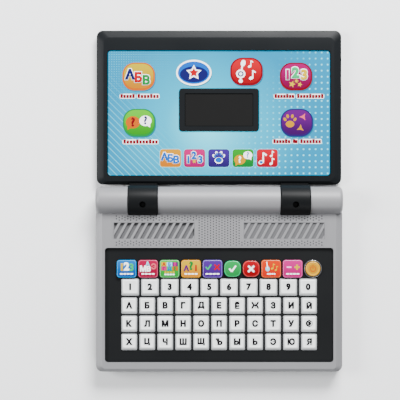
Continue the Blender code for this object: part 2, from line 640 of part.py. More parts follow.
for place, y in zip(LETTER_ROWS, LETTER_ROWS_Y):
    caps = bmesh.new()
    for x in letter_centres:
        plan = centred(x, y, LETTER_WIDTH, LETTER_DEPTH, 1.4 * MM)
        add_loft(caps, cap_sections(plan, [(plan, KEY_FOOT_BOTTOM + 0.3 * MM)]))
    strip = Outline(
        letter_centres[0] - LETTER_WIDTH / 2 - 1 * MM, letter_centres[-1] + LETTER_WIDTH / 2 + 1 * MM,
        y - LETTER_DEPTH / 2 - 0.1 * MM, y + LETTER_DEPTH / 2 + 0.1 * MM, 1 * MM,
    )
    key_row = plate(f"letter_keys_{place}", strip, KEY_FOOT_BOTTOM, KEY_FOOT_TOP, WHITE)
    join(key_row, solid(f"caps_{place}", caps))

# ---- Dome sheet, circuit board and speaker ----------------------------------------------------------------
sheet = plate("key_dome_sheet", board.inset(2 * MM), SHEET_BOTTOM, SHEET_BOTTOM + SHEET_THICKNESS, SILICONE)
dome_places = [(x, BUTTON_ROW_Y) for x in button_centres] + [(x, DIGIT_ROW_Y) for x in digit_centres]
dome_places += [(x, y) for y in LETTER_ROWS_Y for x in letter_centres]
domes = bmesh.new()
dome_bottom = SHEET_BOTTOM + SHEET_THICKNESS / 2
dome_height = KEY_FOOT_BOTTOM - GAP - dome_bottom
for x, y in dome_places:
    made = bmesh.ops.create_cone(
        domes, cap_ends=True, segments=6, radius1=DOME_RADIUS, radius2=DOME_RADIUS * 0.6, depth=dome_height
    )
    bmesh.ops.translate(domes, verts=made["verts"], vec=(x, y, dome_bottom + dome_height / 2))
join(sheet, solid("domes", domes))
plate("main_circuit_board", board, BOARD_BOTTOM, BOARD_BOTTOM + BOARD_THICKNESS, BOARD)

speaker_x = -(WINDOW_INNER + WINDOW_OUTER) / 2
speaker_y = -WINDOW_BACK - SPEAKER_RADIUS + 2.6 * MM
screen_top = DECK_TOP - WALL - GAP
windows = Outline(-WINDOW_OUTER, -WINDOW_INNER, -WINDOW_FRONT, -WINDOW_BACK)
screen = windows.inset(-SCREEN_LAP, corner=1 * MM)
plate("speaker_dust_screen", screen, screen_top - SCREEN_THICKNESS, screen_top, BLACK, 1)
speaker_top = screen_top - SCREEN_THICKNESS - GAP
turned(
    "speaker_frame",
    [
        (0, speaker_top - 4.2 * MM), (SPEAKER_RADIUS - 4 * MM, speaker_top - 4.2 * MM),
        (SPEAKER_RADIUS - 1.2 * MM, speaker_top - 1.4 * MM), (SPEAKER_RADIUS - 1.2 * MM, speaker_top),
        (SPEAKER_RADIUS, speaker_top), (SPEAKER_RADIUS, speaker_top - 1.2 * MM),
        (SPEAKER_RADIUS - 3 * MM, speaker_top - 5 * MM), (5.5 * MM, speaker_top - 5 * MM),
        (5.5 * MM, speaker_top - 8.5 * MM), (0, speaker_top - 8.5 * MM),
    ],
    STEEL, (speaker_x, speaker_y, 0), steps=24,
)
turned(
    "speaker_cone",
    [
        (0, speaker_top - 2.2 * MM), (3 * MM, speaker_top - 2.4 * MM),
        (SPEAKER_RADIUS - 2.4 * MM, speaker_top - 0.4 * MM), (SPEAKER_RADIUS - 1.5 * MM, speaker_top - 0.4 * MM),
        (SPEAKER_RADIUS - 1.5 * MM, speaker_top - 1 * MM),
        (3.4 * MM, speaker_top - 3.5 * MM), (0, speaker_top - 3.5 * MM),
    ],
    PAPER, (speaker_x, speaker_y, 0), steps=24,
)

# ---- Hinges: knuckles with their arms, pins and cap screws ------------------------------------------------
hinge_hole_y = -3.7 * MM
hinge_hole_floor = AXIS_HEIGHT + KNUCKLE_RADIUS - 9 * MM
for name, x in (("left", -KNUCKLE_X), ("right", KNUCKLE_X)):
    shape = bmesh.new()
    add_cylinder(shape, KNUCKLE_RADIUS, (0, 0, 0), KNUCKLE_WIDTH, "X", 40)
    knuckle = solid(f"hinge_knuckle_{name}", shape, BLACK)
    knuckle.location = (x, 0, AXIS_HEIGHT)
    bevel = knuckle.modifiers.new("chamfer", "BEVEL")
    bevel.width = 1.2 * MM
    bevel.segments = 1
    bevel.angle_limit = math.radians(60)
    neck_plan = Outline(x - KNUCKLE_WIDTH / 2 + 1 * MM, x + KNUCKLE_WIDTH / 2 - 1 * MM, 8 * MM, NECK_REACH)
    neck = plate(f"neck_{name}", neck_plan, LID_BACK_Z + LID_WALL + GAP, LID_FACE - 0.5 * MM)
    arm_bottom = LID_BACK_Z + LID_WALL + GAP
    arm_plan = Outline(neck_plan.left + 1 * MM, neck_plan.right - 1 * MM, 10 * MM, LID_HINGE_EDGE + ARM_LENGTH)
    arm = plate(f"arm_{name}", arm_plan, arm_bottom + 0.1 * MM, arm_bottom + ARM_THICKNESS)
    bore = cylinders(f"bore_{name}", PIN_BORE, [(x, 0, AXIS_HEIGHT)], 2 * KNUCKLE_WIDTH, "X", 16)
    hole = cylinders(
        f"hole_{name}", HEAD_RADIUS + GAP, [(x, hinge_hole_y, hinge_hole_floor + 10 * MM)], 20 * MM, segments=20
    )
    join(knuckle, neck, arm)
    cut(knuckle, bore, hole)
    pin_length = SLOT_WIDTH + 2 * CHEEK + 3 * MM
    cylinders(f"hinge_pin_{name}", PIN_RADIUS, [(x, 0, AXIS_HEIGHT)], pin_length, "X", 16, STEEL)
    screw_bottom = hinge_hole_floor + GAP
    turned(
        f"hinge_screw_{name}",
        [
            (0, screw_bottom + 1.6 * MM), (HEAD_RADIUS - 0.7 * MM, screw_bottom + 1.6 * MM),
            (HEAD_RADIUS - 0.1 * MM, screw_bottom + 1 * MM), (HEAD_RADIUS - 0.1 * MM, screw_bottom),
            (0, screw_bottom),
        ],
        STEEL, (x, hinge_hole_y, 0), steps=16,
    )

# ---- Lid --------------------------------------------------------------------------------------------------
lid_plan = Outline(-HALF_WIDTH, HALF_WIDTH, LID_HINGE_EDGE, LID_FAR_EDGE, PLAN_CORNER)
face_half_width = HALF_WIDTH - LID_SLOPE
face_front, face_back = LID_HINGE_EDGE + 3.2 * MM, LID_FAR_EDGE - LID_SLOPE
face_plan = Outline(-face_half_width, face_half_width, face_front, face_back, LABEL_CORNER)
hollow_lid_plan = lid_plan.inset(LID_WALL, corner=PLAN_CORNER - LID_WALL)
label_half_width = HALF_WIDTH - LABEL_SIDE_BORDER
label_plan = Outline(
    -label_half_width, label_half_width,
    LID_HINGE_EDGE + LABEL_NEAR_BORDER, LID_FAR_EDGE - LABEL_FAR_BORDER, LABEL_CORNER,
)
label_top = LID_FACE - LABEL_DROP
label_bottom = label_top - LABEL_THICKNESS
frame_floor = label_bottom - GAP - LID_WALL
bezel_plan = centred(0, DISPLAY_Y, BEZEL_WIDTH, BEZEL_DEPTH, LABEL_CORNER)
sleeve_plan = bezel_plan.inset(2 * MM, corner=1.5 * MM)
notches, slits = bmesh.new(), bmesh.new()
for side in (-1, 1):
    notch_width = KNUCKLE_WIDTH - 2 * MM + 2 * GAP
    notch = centred(side * KNUCKLE_X, LID_HINGE_EDGE, notch_width, 2 * (NECK_REACH - LID_HINGE_EDGE + GAP))
    slit = centred(side * KNUCKLE_X, LID_HINGE_EDGE, notch_width - 2 * MM, 8 * MM)
    add_loft(notches, [(notch, LID_BACK_Z + LID_WALL), (notch, LID_FACE + 5 * MM)])
    add_loft(slits, [(slit, LID_BACK_Z + LID_WALL - 0.1 * MM), (slit, frame_floor + 0.1 * MM)])
neck_notches = solid("neck_notches", notches)
arm_slits = solid("arm_slits", slits)

shape = bmesh.new()
add_loft(shape, [
    (lid_plan, LID_PARTING + GAP), (lid_plan, LID_FACE - LID_EDGE_DROP), (face_plan, LID_FACE),
], 4)
lid_frame = solid("lid_front_frame", shape, BLACK)
cut(
    lid_frame,
    plate("frame_hollow", hollow_lid_plan, 0, frame_floor),
    plate("label_recess", label_plan, label_bottom - GAP, LID_FACE + 5 * MM, steps=3),
    plate("display_opening", sleeve_plan.inset(-GAP, corner=1.5 * MM), 0, LID_FACE),
    neck_notches, arm_slits,
)
shape = bmesh.new()
add_loft(shape, [
    (lid_plan.inset(2 * MM, corner=PLAN_CORNER), LID_BACK_Z),
    (lid_plan, LID_BACK_Z + 2 * MM),
    (lid_plan, LID_PARTING),
], 4)
lid_cover = solid("lid_back_cover", shape, BLACK)
cover_hollow = plate("cover_hollow", hollow_lid_plan, LID_BACK_Z + LID_WALL, LID_FACE)
cut(lid_cover, cover_hollow, neck_notches, arm_slits)

printed_plan = label_plan.inset(GAP, corner=LABEL_CORNER - GAP)
label = plate("screen_label_plate", printed_plan, label_bottom, label_top, PRINT, 3)
cut(label, plate("label_opening", sleeve_plan.inset(-GAP, corner=1.5 * MM), 0, LID_FACE))

shape = bmesh.new()
bezel_bottom = label_top + GAP
bezel_top = label_top + BEZEL_RISE
add_loft(shape, [
    (sleeve_plan, frame_floor + GAP), (sleeve_plan, bezel_bottom), (bezel_plan, bezel_bottom),
    (bezel_plan, bezel_top - 0.3 * MM), (bezel_plan.inset(0.4 * MM, corner=LABEL_CORNER), bezel_top),
], 3)
bezel = solid("display_bezel", shape, BLACK)
glass_plan = centred(0, DISPLAY_Y, GLASS_WIDTH, GLASS_DEPTH, 1 * MM)
glass_bottom = label_bottom - 0.4 * MM
cut(
    bezel,
    plate("glass_window", glass_plan, glass_bottom - GAP, LID_FACE + 5 * MM),
    plate("glass_ledge", glass_plan.inset(2 * MM), 0, LID_FACE),
)
plate("display_glass", glass_plan.inset(GAP), glass_bottom, glass_bottom + 1.1 * MM, GLASS)
board_top = frame_floor + GAP - 0.4 * MM
plate("display_board", bezel_plan.inset(1 * MM, corner=1 * MM), board_top - BOARD_THICKNESS, board_top, BOARD)
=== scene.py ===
"""The toy laptop as a finished object: silver keyboard half, black lid, printed plate, caps and buttons."""

import math

import bmesh
import bpy
from mathutils import Matrix, Vector


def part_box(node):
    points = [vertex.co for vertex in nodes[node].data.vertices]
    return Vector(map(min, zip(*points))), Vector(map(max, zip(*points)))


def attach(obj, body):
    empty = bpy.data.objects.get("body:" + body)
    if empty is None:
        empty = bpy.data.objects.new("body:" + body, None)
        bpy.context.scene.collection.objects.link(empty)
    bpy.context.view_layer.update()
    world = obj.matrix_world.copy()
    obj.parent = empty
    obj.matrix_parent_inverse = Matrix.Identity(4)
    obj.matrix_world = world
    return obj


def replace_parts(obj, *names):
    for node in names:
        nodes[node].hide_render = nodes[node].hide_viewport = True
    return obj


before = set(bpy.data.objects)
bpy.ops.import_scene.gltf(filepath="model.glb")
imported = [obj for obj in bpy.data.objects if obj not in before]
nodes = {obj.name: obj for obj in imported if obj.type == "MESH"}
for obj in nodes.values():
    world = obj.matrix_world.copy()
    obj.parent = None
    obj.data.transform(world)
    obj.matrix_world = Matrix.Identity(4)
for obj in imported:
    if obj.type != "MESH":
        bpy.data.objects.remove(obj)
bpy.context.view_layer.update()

bpy.ops.object.select_all(action="DESELECT")

# ---- Table, light and camera ----
# The toy lies on a pale table. A large soft box behind it lights the spine and the tops of the keys and
# leaves their front slopes darker, and two weaker ones fill in. The camera hangs straight above.


def lamp(name, place, width, height, power):
    """A soft box that is turned towards the middle of the toy."""
    light = bpy.data.lights.new(name, "AREA")
    light.shape = "RECTANGLE"
    light.size, light.size_y, light.energy = width, height, power
    made = bpy.data.objects.new(name, light)
    made.location = place
    made.rotation_euler = (-Vector(place)).to_track_quat("-Z", "Y").to_euler()
    bpy.context.scene.collection.objects.link(made)


lamp("soft_box", (0.45, 1.4, 1.15), 1.1, 0.7, 130)
lamp("left_fill", (-1.35, 0.15, 1.0), 0.7, 0.7, 34)
lamp("front_fill", (0.5, -1.3, 1.2), 0.8, 0.6, 11)
sky = bpy.data.worlds.new("pale_room")
sky.use_nodes = True
sky.node_tree.nodes["Background"].inputs["Color"].default_value = (0.95, 0.97, 1, 1)
sky.node_tree.nodes["Background"].inputs["Strength"].default_value = 0.32
bpy.context.scene.world = sky

camera_height = 1.3
view_width = 0.38
lens = bpy.data.cameras.new("camera")
lens.lens = lens.sensor_width * camera_height / view_width
camera = bpy.data.objects.new("camera", lens)
camera.location = (-0.0179, 0.0005, camera_height)
bpy.context.scene.collection.objects.link(camera)
bpy.context.scene.camera = camera


class Wire:
    """A value in a material's nodes. Arithmetic on it adds Math nodes."""

    def __init__(self, finish, socket):
        self.finish, self.socket = finish, socket

    def maths(self, operation, first, second=None):
        terms = [term for term in (first, second) if term is not None]
        return self.finish.node("Math", {"operation": operation}, dict(enumerate(terms)))

    def __add__(self, other):
        return self.maths("ADD", self, other)

    __radd__ = __add__

    def __sub__(self, other):
        return self.maths("SUBTRACT", self, other)

    def __rsub__(self, other):
        return self.maths("SUBTRACT", other, self)

    def __mul__(self, other):
        return self.maths("MULTIPLY", self, other)

    __rmul__ = __mul__

    def __truediv__(self, other):
        return self.maths("DIVIDE", self, other)

    def __pow__(self, other):
        return self.maths("POWER", self, other)

    def __abs__(self):
        return self.maths("ABSOLUTE", self)

    def most(self, other):
        return self.maths("MAXIMUM", self, other)

    def cell(self, pitch):
        """Distance from the middle of a repeating cell, from -pitch / 2 to pitch / 2."""
        return self - self.maths("ROUND", self / pitch) * pitch

    def ramp(self, start, end):
        """0 at start, 1 at end, with a soft turn between them."""
        settings = {"interpolation_type": "SMOOTHSTEP"}
        return self.finish.node("MapRange", settings, {"Value": self, "From Min": start, "From Max": end})


class Finish:
    """A material with one Principled shader, and one method that makes its other nodes."""

    def __init__(self, name, colour, roughness, **constants):
        self.material = bpy.data.materials.new(name)
        self.material.use_nodes = True
        self.tree = self.material.node_tree
        self.shader = self.tree.nodes["Principled BSDF"]
        self.feed("Base Color", (*colour, 1))
        self.feed("Roughness", roughness)
        for socket, value in constants.items():
            self.feed(socket.replace("_", " ").title().replace("Ior", "IOR"), value)

    def node(self, kind, settings, values, output=0):
        made = self.tree.nodes.new(f"ShaderNode{kind}")
        for setting, value in settings.items():
            if setting == "stops":
                for place, (position, colour) in enumerate(value):
                    if place > 1:
                        made.color_ramp.elements.new(position)
                    made.color_ramp.elements[place].position = position
                    made.color_ramp.elements[place].color = colour
            else:
                setattr(made, setting, value)
        for socket, value in values.items():
            self.connect(made.inputs[socket], value)
        return Wire(self, made.outputs[output])

    def connect(self, socket, value):
        if isinstance(value, Wire):
            self.tree.links.new(value.socket, socket)
        else:
            socket.default_value = value

    def feed(self, socket, value):
        self.connect(self.shader.inputs[socket], value)
        return self

    def place(self, centre=(0, 0, 0)):
        """The x, y and z of a point on the piece, in metres from centre."""
        spot = self.node("TexCoord", {}, {}, "Object")
        moved = self.node("VectorMath", {"operation": "SUBTRACT"}, {0: spot, 1: centre})
        split = self.node("SeparateXYZ", {}, {0: moved})
        node = split.socket.node
        return [Wire(self, node.outputs[axis]) for axis in "XYZ"]

    def mix(self, factor, first, second):
        first, second = (value if isinstance(value, Wire) else (*value, 1)[:4] for value in (first, second))
        settings = {"data_type": "RGBA"}
        return self.node("Mix", settings, {"Factor": factor, 6: first, 7: second}, 2)

    def noise(self, size, detail=2.0, roughness=0.5, stretch=(1, 1, 1)):
        """Even noise with blotches of this size, in metres."""
        spot = self.node("TexCoord", {}, {}, "Object")
        scaled = self.node("Mapping", {}, {"Vector": spot, "Scale": stretch})
        values = {"Vector": scaled, "Scale": 1 / size, "Detail": detail, "Roughness": roughness}
        return self.node("TexNoise", {}, values, "Fac")

    def bump(self, height, depth, strength=1.0):
        """Feeds a relief of this depth in metres to the shader's normal."""
        values = {"Height": height, "Distance": depth, "Strength": strength}
        return self.feed("Normal", self.node("Bump", {}, values, "Normal"))

    def paint(self, *names):
        for name in names:
            nodes[name].data.materials.clear()
            nodes[name].data.materials.append(self.material)
        return self


bpy.ops.mesh.primitive_plane_add(size=8)
floor = bpy.context.object
floor.name = "table"
table_finish = Finish("pale_table", (0.86, 0.87, 0.88), 0.6)
floor.data.materials.append(table_finish.material)

# ---- Keyboard half: silver top housing, black tray and black panel ----
# Both housings are moulded ABS with a very fine eroded texture, the top one silver all through and the tray
# black. The panel round the keys is smoother. The floors of the grille's recess and slots are painted darker
# in the silver: painted shade.


def moulded(name, colour, roughness, grain=0.00035, depth=0.00001, cloud=0.06, **constants):
    """Moulded plastic: fine eroded texture, faint clouds in the gloss and slightly uneven colour."""
    made = Finish(name, colour, roughness, **constants)
    clouds = made.noise(cloud, 3)
    speck = made.noise(grain, 2)
    made.feed("Roughness", roughness + (clouds - 0.5) * 0.12 + (speck - 0.5) * 0.1)
    tint = made.mix(clouds, (0.94, 0.94, 0.94), (1.05, 1.05, 1.05))
    settings = {"data_type": "RGBA", "blend_type": "MULTIPLY"}
    made.feed("Base Color", made.node("Mix", settings, {"Factor": 1.0, 6: (*colour, 1), 7: tint}, 2))
    return made.bump(speck, depth, 0.6)


silver_colour = (0.18, 0.18, 0.188)
slot_floor_shade_colour = (0.095, 0.095, 0.10)
recess_floor_shade_colour = (0.03, 0.03, 0.032)
window_x, window_y = 0.06085, -0.0283
window_half_width, window_half_depth = 0.0378, 0.0077
recess_y = -0.02775
recess_half_width, recess_half_depth = 0.0996, 0.0146
over_slot_floor = 0.0192
over_recess_floor = 0.0197
silver = moulded("silver_plastic", silver_colour, 0.48, metallic=0.15, specular_ior_level=0.35)
across, along, up = silver.place()
in_windows = (window_half_width - abs(abs(across) - window_x)).ramp(0, 0.0002)
in_windows = in_windows * (window_half_depth - abs(along - window_y)).ramp(0, 0.0002)
in_recess = (recess_half_width - abs(across)).ramp(0, 0.0003)
in_recess = in_recess * (recess_half_depth - abs(along - recess_y)).ramp(0, 0.0003)
# Painted shade: the blind slots' floors and the recess floor under the skin are painted darker than the
# silver.
painted_slot_shade = in_windows * (over_slot_floor - up).ramp(0, 0.0001)
painted_recess_shade = in_recess * (1 - in_windows) * (over_recess_floor - up).ramp(0, 0.00005)
shade = silver.mix(painted_slot_shade, silver_colour, slot_floor_shade_colour)
silver.feed("Base Color", silver.mix(painted_recess_shade, shade, recess_floor_shade_colour))
silver.paint("base_top_housing")
tray_black = moulded("black_tray_plastic", (0.006, 0.0065, 0.007), 0.45, specular_ior_level=0.3)
tray_black.paint("base_bottom_housing", "battery_door")
panel_black = moulded("panel_plastic", (0.005, 0.0055, 0.006), 0.36, specular_ior_level=0.22)
panel_black.paint("keyboard_panel")

# ---- Lid frame: the rounded black border round the printed plate ----
# It has a straight wall, a wide slope and a flat face with rounded corners, and a recess for the plate. Its
# near edge is notched for the two hinge necks. The cover behind it and the display's bezel match it.
lid_black = moulded("lid_plastic", (0.005, 0.006, 0.007), 0.42, specular_ior_level=0.1)
lid_black.paint("lid_front_frame", "lid_back_cover", "display_bezel")


def select_faces(test):
    """Selects the faces of the open mesh whose normal and centre pass a test."""
    shape = bmesh.from_edit_mesh(bpy.context.object.data)
    for face in shape.faces:
        face.select_set(test(face.normal, face.calc_center_median()))
    shape.select_flush_mode()
    bmesh.update_edit_mesh(bpy.context.object.data)


def rounded_slab(low, high, corner):
    """A box with rounded upright corners, left open in edit mode with its top face selected."""
    middle, size = (Vector(low) + Vector(high)) / 2, Vector(high) - Vector(low)
    bpy.ops.mesh.primitive_plane_add(size=1, location=(middle.x, middle.y, low[2]))
    made = bpy.context.object
    made.scale = (size.x, size.y, 1)
    bpy.ops.object.transform_apply(location=True, rotation=True, scale=True)
    bpy.ops.object.mode_set(mode="EDIT")
    bpy.ops.mesh.select_mode(type="VERT")
    bpy.ops.mesh.select_all(action="SELECT")
    bpy.ops.mesh.bevel(offset=corner, segments=12, affect="VERTICES")
    bpy.ops.mesh.select_mode(type="FACE")
    bpy.ops.mesh.select_all(action="SELECT")
    bpy.ops.mesh.extrude_region_move(TRANSFORM_OT_translate={"value": (0, 0, size.z)})
    return made


def close_mesh():
    """Turns every face of the open mesh outwards and leaves edit mode."""
    bpy.ops.mesh.select_all(action="SELECT")
    bpy.ops.mesh.normals_make_consistent(inside=False)
    bpy.ops.object.mode_set(mode="OBJECT")


def closed_slab(low, high, corner):
    """A finished rounded box, for use as a cutter."""
    made = rounded_slab(low, high, corner)
    close_mesh()
    return made


def carve(made, cutters):
    """Cuts solids out of a piece and removes them."""
    for cutter in cutters:
        bpy.ops.object.select_all(action="DESELECT")
        bpy.context.view_layer.objects.active = made
        made.select_set(True)
        bpy.ops.object.modifier_add(type="BOOLEAN")
        hollow = made.modifiers[-1]
        hollow.operation = "DIFFERENCE"
        hollow.object = cutter
        bpy.ops.object.modifier_apply(modifier=hollow.name)
        bpy.data.objects.remove(cutter)


frame_low, frame_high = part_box("lid_front_frame")
frame_size = frame_high - frame_low
frame_corner = 0.006
face_drop = 0.0026
side_slope = 0.0065
near_slope = 0.0032
rim_width, rim_rise = 0.0004, 0.00006
border = rounded_slab(frame_low, (frame_high.x, frame_high.y, frame_high.z - face_drop), frame_corner)
face_shift = (0, (near_slope - side_slope) / 2, face_drop)
bpy.ops.mesh.extrude_region_move(TRANSFORM_OT_translate={"value": face_shift})
shrink_x = (frame_size.x - 2 * side_slope) / frame_size.x
shrink_y = (frame_size.y - near_slope - side_slope) / frame_size.y
face_y = (frame_low.y + frame_high.y + near_slope - side_slope) / 2
bpy.ops.transform.resize(value=(shrink_x, shrink_y, 1), center_override=(0, face_y, frame_high.z))
bpy.ops.mesh.inset(thickness=rim_width, depth=rim_rise)
close_mesh()
over_lid = 0.02
plate_play = 0.0003
bezel_lap = 0.0014
knuckle_x = 0.0713
neck_half_width = 0.0133
neck_reach = 0.0017
plate_low, plate_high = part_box("screen_label_plate")
bezel_low, bezel_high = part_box("display_bezel")
openings = [
    closed_slab(
        (plate_low.x - plate_play, plate_low.y - plate_play, plate_low.z - plate_play),
        (plate_high.x + plate_play, plate_high.y + plate_play, over_lid), 0.003,
    ),
    closed_slab(
        (bezel_low.x + bezel_lap, bezel_low.y + bezel_lap, 0),
        (bezel_high.x - bezel_lap, bezel_high.y - bezel_lap, over_lid), 0.0018,
    ),
]
for neck_x in (-knuckle_x, knuckle_x):
    openings.append(closed_slab(
        (neck_x - neck_half_width, frame_low.y - 0.001, 0),
        (neck_x + neck_half_width, frame_low.y + neck_reach, over_lid), 0.0004,
    ))
carve(border, openings)
border.data.materials.append(lid_black.material)
bpy.ops.object.shade_smooth_by_angle(angle=math.radians(18))
border.name = border.data.name = "lid_border"
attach(border, "lid")
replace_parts(border, "lid_front_frame")

# ---- Printed plate: a thin laminated plate let into the lid's frame ----
# It is polycarbonate, printed on its back and glossy in front: pale cyan in the middle, deeper blue towards
# the edges, with a grid of pale dots on the right, thin stripes low on the left and a halftone above them.
plate = Finish("printed_plate", (0.0, 0.3, 0.75), 0.35, specular_ior_level=0.1)
across, along, _ = plate.place((plate_low + plate_high) / 2)
glow_x, glow_y = -0.01, -0.012
glow_width, glow_depth = 0.075, 0.062
glow = (((across - glow_x) / glow_width) ** 2 + ((along - glow_y) / glow_depth) ** 2) ** 0.5
streaks = plate.noise(0.055, 1, 0.4, (1, 0.45, 1))
ground = plate.node("ValToRGB", {"stops": [
    (0.0, (0.06, 0.58, 0.74, 1)), (0.30, (0.0, 0.30, 0.46, 1)), (0.62, (0.0, 0.17, 0.31, 1)),
]}, {0: glow / 2.1 + (streaks - 0.5) * 0.22})


def dotted(pitch, radius, edge):
    """A square grid of round dots over the plate."""
    return (radius - (across.cell(pitch) ** 2 + along.cell(pitch) ** 2) ** 0.5).ramp(0, edge)


dots = dotted(0.0057, 0.0010, 0.00025) * (across - along * 0.6).ramp(0.02, 0.085) * 0.65
stripe_pitch, stripe_half_width = 0.0062, 0.0006
stripes = (stripe_half_width - abs((across + along).cell(stripe_pitch))).ramp(0, 0.0002)
stripes = stripes * (0 - across - along * 0.9).ramp(0.055, 0.11) * 0.35
halftone = dotted(0.0023, 0.0006, 0.0002) * (along - across * 0.5).ramp(0.045, 0.10) * 0.25
pattern = dots.most(stripes).most(halftone)
plate.feed("Base Color", plate.mix(pattern, ground, (0.22, 0.72, 0.80)))
plate.feed("Roughness", 0.28 + plate.noise(0.03) * 0.08)
plate.paint("screen_label_plate")

# ---- Pictures on the plate ----
# Each is screen-printed in flat inks, one over the other: four big tiles with a line of small print under
# each, an oval badge and a fifth tile above the display, and a row of five small tiles below it.
ink_step = 0.00004
ink_thickness = ink_step * 0.8


def ink(name, colour):
    """Screen-printed ink: even, satin, and very slightly mottled."""
    made = Finish(f"{name}_ink", colour, 0.35, specular_ior_level=0.1)
    mottle = made.noise(0.0015)
    pale = [min(1.0, channel * 1.08 + 0.002) for channel in colour]
    made.feed("Base Color", made.mix(mottle * 0.5, colour, pale))
    return made.material


def shaded_ink(name, upper, lower, y, reach):
    """Ink that runs from one colour at y + reach to another at y - reach."""
    made = Finish(f"{name}_ink", upper, 0.35, specular_ior_level=0.1)
    _, along, _ = made.place((0, y, 0))
    made.feed("Base Color", made.mix(along.ramp(-reach, reach), lower, upper))
    return made.material


inks = {name: ink(name, colour) for name, colour in (
    ("white", (0.90, 0.92, 0.92)), ("navy", (0.006, 0.006, 0.07)), ("dark_red", (0.12, 0.0, 0.004)),
    ("red", (0.30, 0.0, 0.004)), ("crimson", (0.22, 0.0, 0.026)), ("orange", (0.36, 0.07, 0.0)),
    ("yellow", (0.46, 0.29, 0.0)), ("gold", (0.36, 0.165, 0.0)), ("green", (0.0, 0.14, 0.022)),
    ("mint", (0.0, 0.30, 0.09)), ("sky", (0.0, 0.07, 0.34)), ("indigo", (0.014, 0.005, 0.075)),
    ("purple", (0.06, 0.003, 0.095)), ("magenta", (0.24, 0.0, 0.075)), ("pink", (0.38, 0.01, 0.12)),
    ("pale_pink", (0.85, 0.35, 0.62)), ("rose", (0.50, 0.07, 0.09)), ("pale_blue", (0.16, 0.55, 0.72)),
    ("black", (0.003, 0.003, 0.004)), ("shadow", (0.003, 0.10, 0.17)),
)}


def pressed(made, name, finish):
    """Gives the flat outline now open in edit mode the thickness of a print, and its ink."""
    bpy.ops.mesh.select_all(action="SELECT")
    bpy.ops.mesh.extrude_region_move(TRANSFORM_OT_translate={"value": (0, 0, ink_thickness)})
    close_mesh()
    made.name = name
    made.data.materials.clear()
    made.data.materials.append(finish)
    return made


def tile(x, y, z, width, depth, corner, finish, turn=0.0):
    """A flat print with rounded corners."""
    bpy.ops.mesh.primitive_plane_add(size=1, location=(x, y, z), rotation=(0, 0, turn))
    made = bpy.context.object
    made.scale = (width, depth, 1)
    bpy.ops.object.transform_apply(location=True, rotation=True, scale=True)
    bpy.ops.object.mode_set(mode="EDIT")
    if corner:
        bpy.ops.mesh.bevel(offset=corner, segments=14 if corner > 0.005 else 5, affect="VERTICES")
    return pressed(made, "tile", finish)


def disc(x, y, z, width, depth, finish, turn=0.0, sides=48):
    """A round or oval flat print."""
    bpy.ops.mesh.primitive_circle_add(
        vertices=sides, radius=0.5, fill_type="NGON", location=(x, y, z), rotation=(0, 0, turn)
    )
    made = bpy.context.object
    made.scale = (width, depth, 1)
    bpy.ops.object.transform_apply(location=True, rotation=True, scale=True)
    bpy.ops.object.mode_set(mode="EDIT")
    return pressed(made, "disc", finish)


def star(x, y, z, size, finish, turn=0.0, points=5, waist=0.45):
    """A flat star: a circle whose every second point is drawn in."""
    middle = (x, y, z)
    bpy.ops.mesh.primitive_circle_add(
        vertices=2 * points, radius=size / 2, fill_type="NGON", location=middle
    )
    made = bpy.context.object
    bpy.ops.object.transform_apply(location=True, rotation=True, scale=True)
    bpy.ops.object.mode_set(mode="EDIT")
    bpy.ops.mesh.select_mode(type="VERT")
    bpy.ops.mesh.select_all(action="DESELECT")
    shape = bmesh.from_edit_mesh(made.data)
    for index, vertex in enumerate(shape.verts):
        vertex.select_set(index % 2 == 1)
    bmesh.update_edit_mesh(made.data)
    bpy.ops.transform.resize(value=(waist, waist, 1), center_override=middle)
    bpy.ops.mesh.select_all(action="SELECT")
    bpy.ops.transform.rotate(value=turn, orient_axis="Z", center_override=middle)
    return pressed(made, "star", finish)


def lettering(text, x, y, z, height, finish, weight):
    """A printed letter or digit, centred. Weight thickens its strokes, as a share of the font's size."""
    capital_height = 0.73
    half_extrusion = 0.01
    bpy.ops.object.text_add(location=(0, 0, 0))
    made = bpy.context.object
    made.data.body = text
    made.data.bevel_depth = weight
    made.data.bevel_resolution = 0
    made.data.resolution_u = 4
    made.data.extrude = half_extrusion
    bpy.ops.object.convert(target="MESH")
    made = bpy.context.object
    low = Vector([min(corner[axis] for corner in made.bound_box) for axis in range(3)])
    high = Vector([max(corner[axis] for corner in made.bound_box) for axis in range(3)])
    centre = (low + high) / 2
    size = height / capital_height
    made.data.transform(Matrix.Translation(-centre))
    made.scale = (size, size, ink_thickness / (2 * half_extrusion + 2 * weight))
    made.location = (x, y, z + ink_thickness / 2)
    bpy.ops.object.transform_apply(location=True, rotation=True, scale=True)
    made.name = "letter"
    made.data.materials.clear()
    made.data.materials.append(finish)
    return made


def haloed(text, x, y, z, height, finish):
    """A letter with a white edge, as toy prints have."""
    return [
        lettering(text, x, y, z, height, inks["white"], 0.11),
        lettering(text, x, y, z + ink_step, height, finish, 0.065),
    ]


def joined(parts):
    """Joins several meshes into one."""
    bpy.ops.object.select_all(action="DESELECT")
    for part in parts:
        part.select_set(True)
    bpy.context.view_layer.objects.active = parts[0]
    if len(parts) > 1:
        bpy.ops.object.join()
    return bpy.context.object


def one_piece(name, parts, body):
    """Joins meshes into one named piece that rides on a body."""
    made = joined(parts)
    made.name = made.data.name = name
    bpy.ops.object.transform_apply(location=True, rotation=True, scale=True)
    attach(made, body)
    bpy.ops.object.select_all(action="DESELECT")
    return made


def level(step):
    """The height of a print that lies over this many others."""
    return plate_high.z + (1 + step) * ink_step


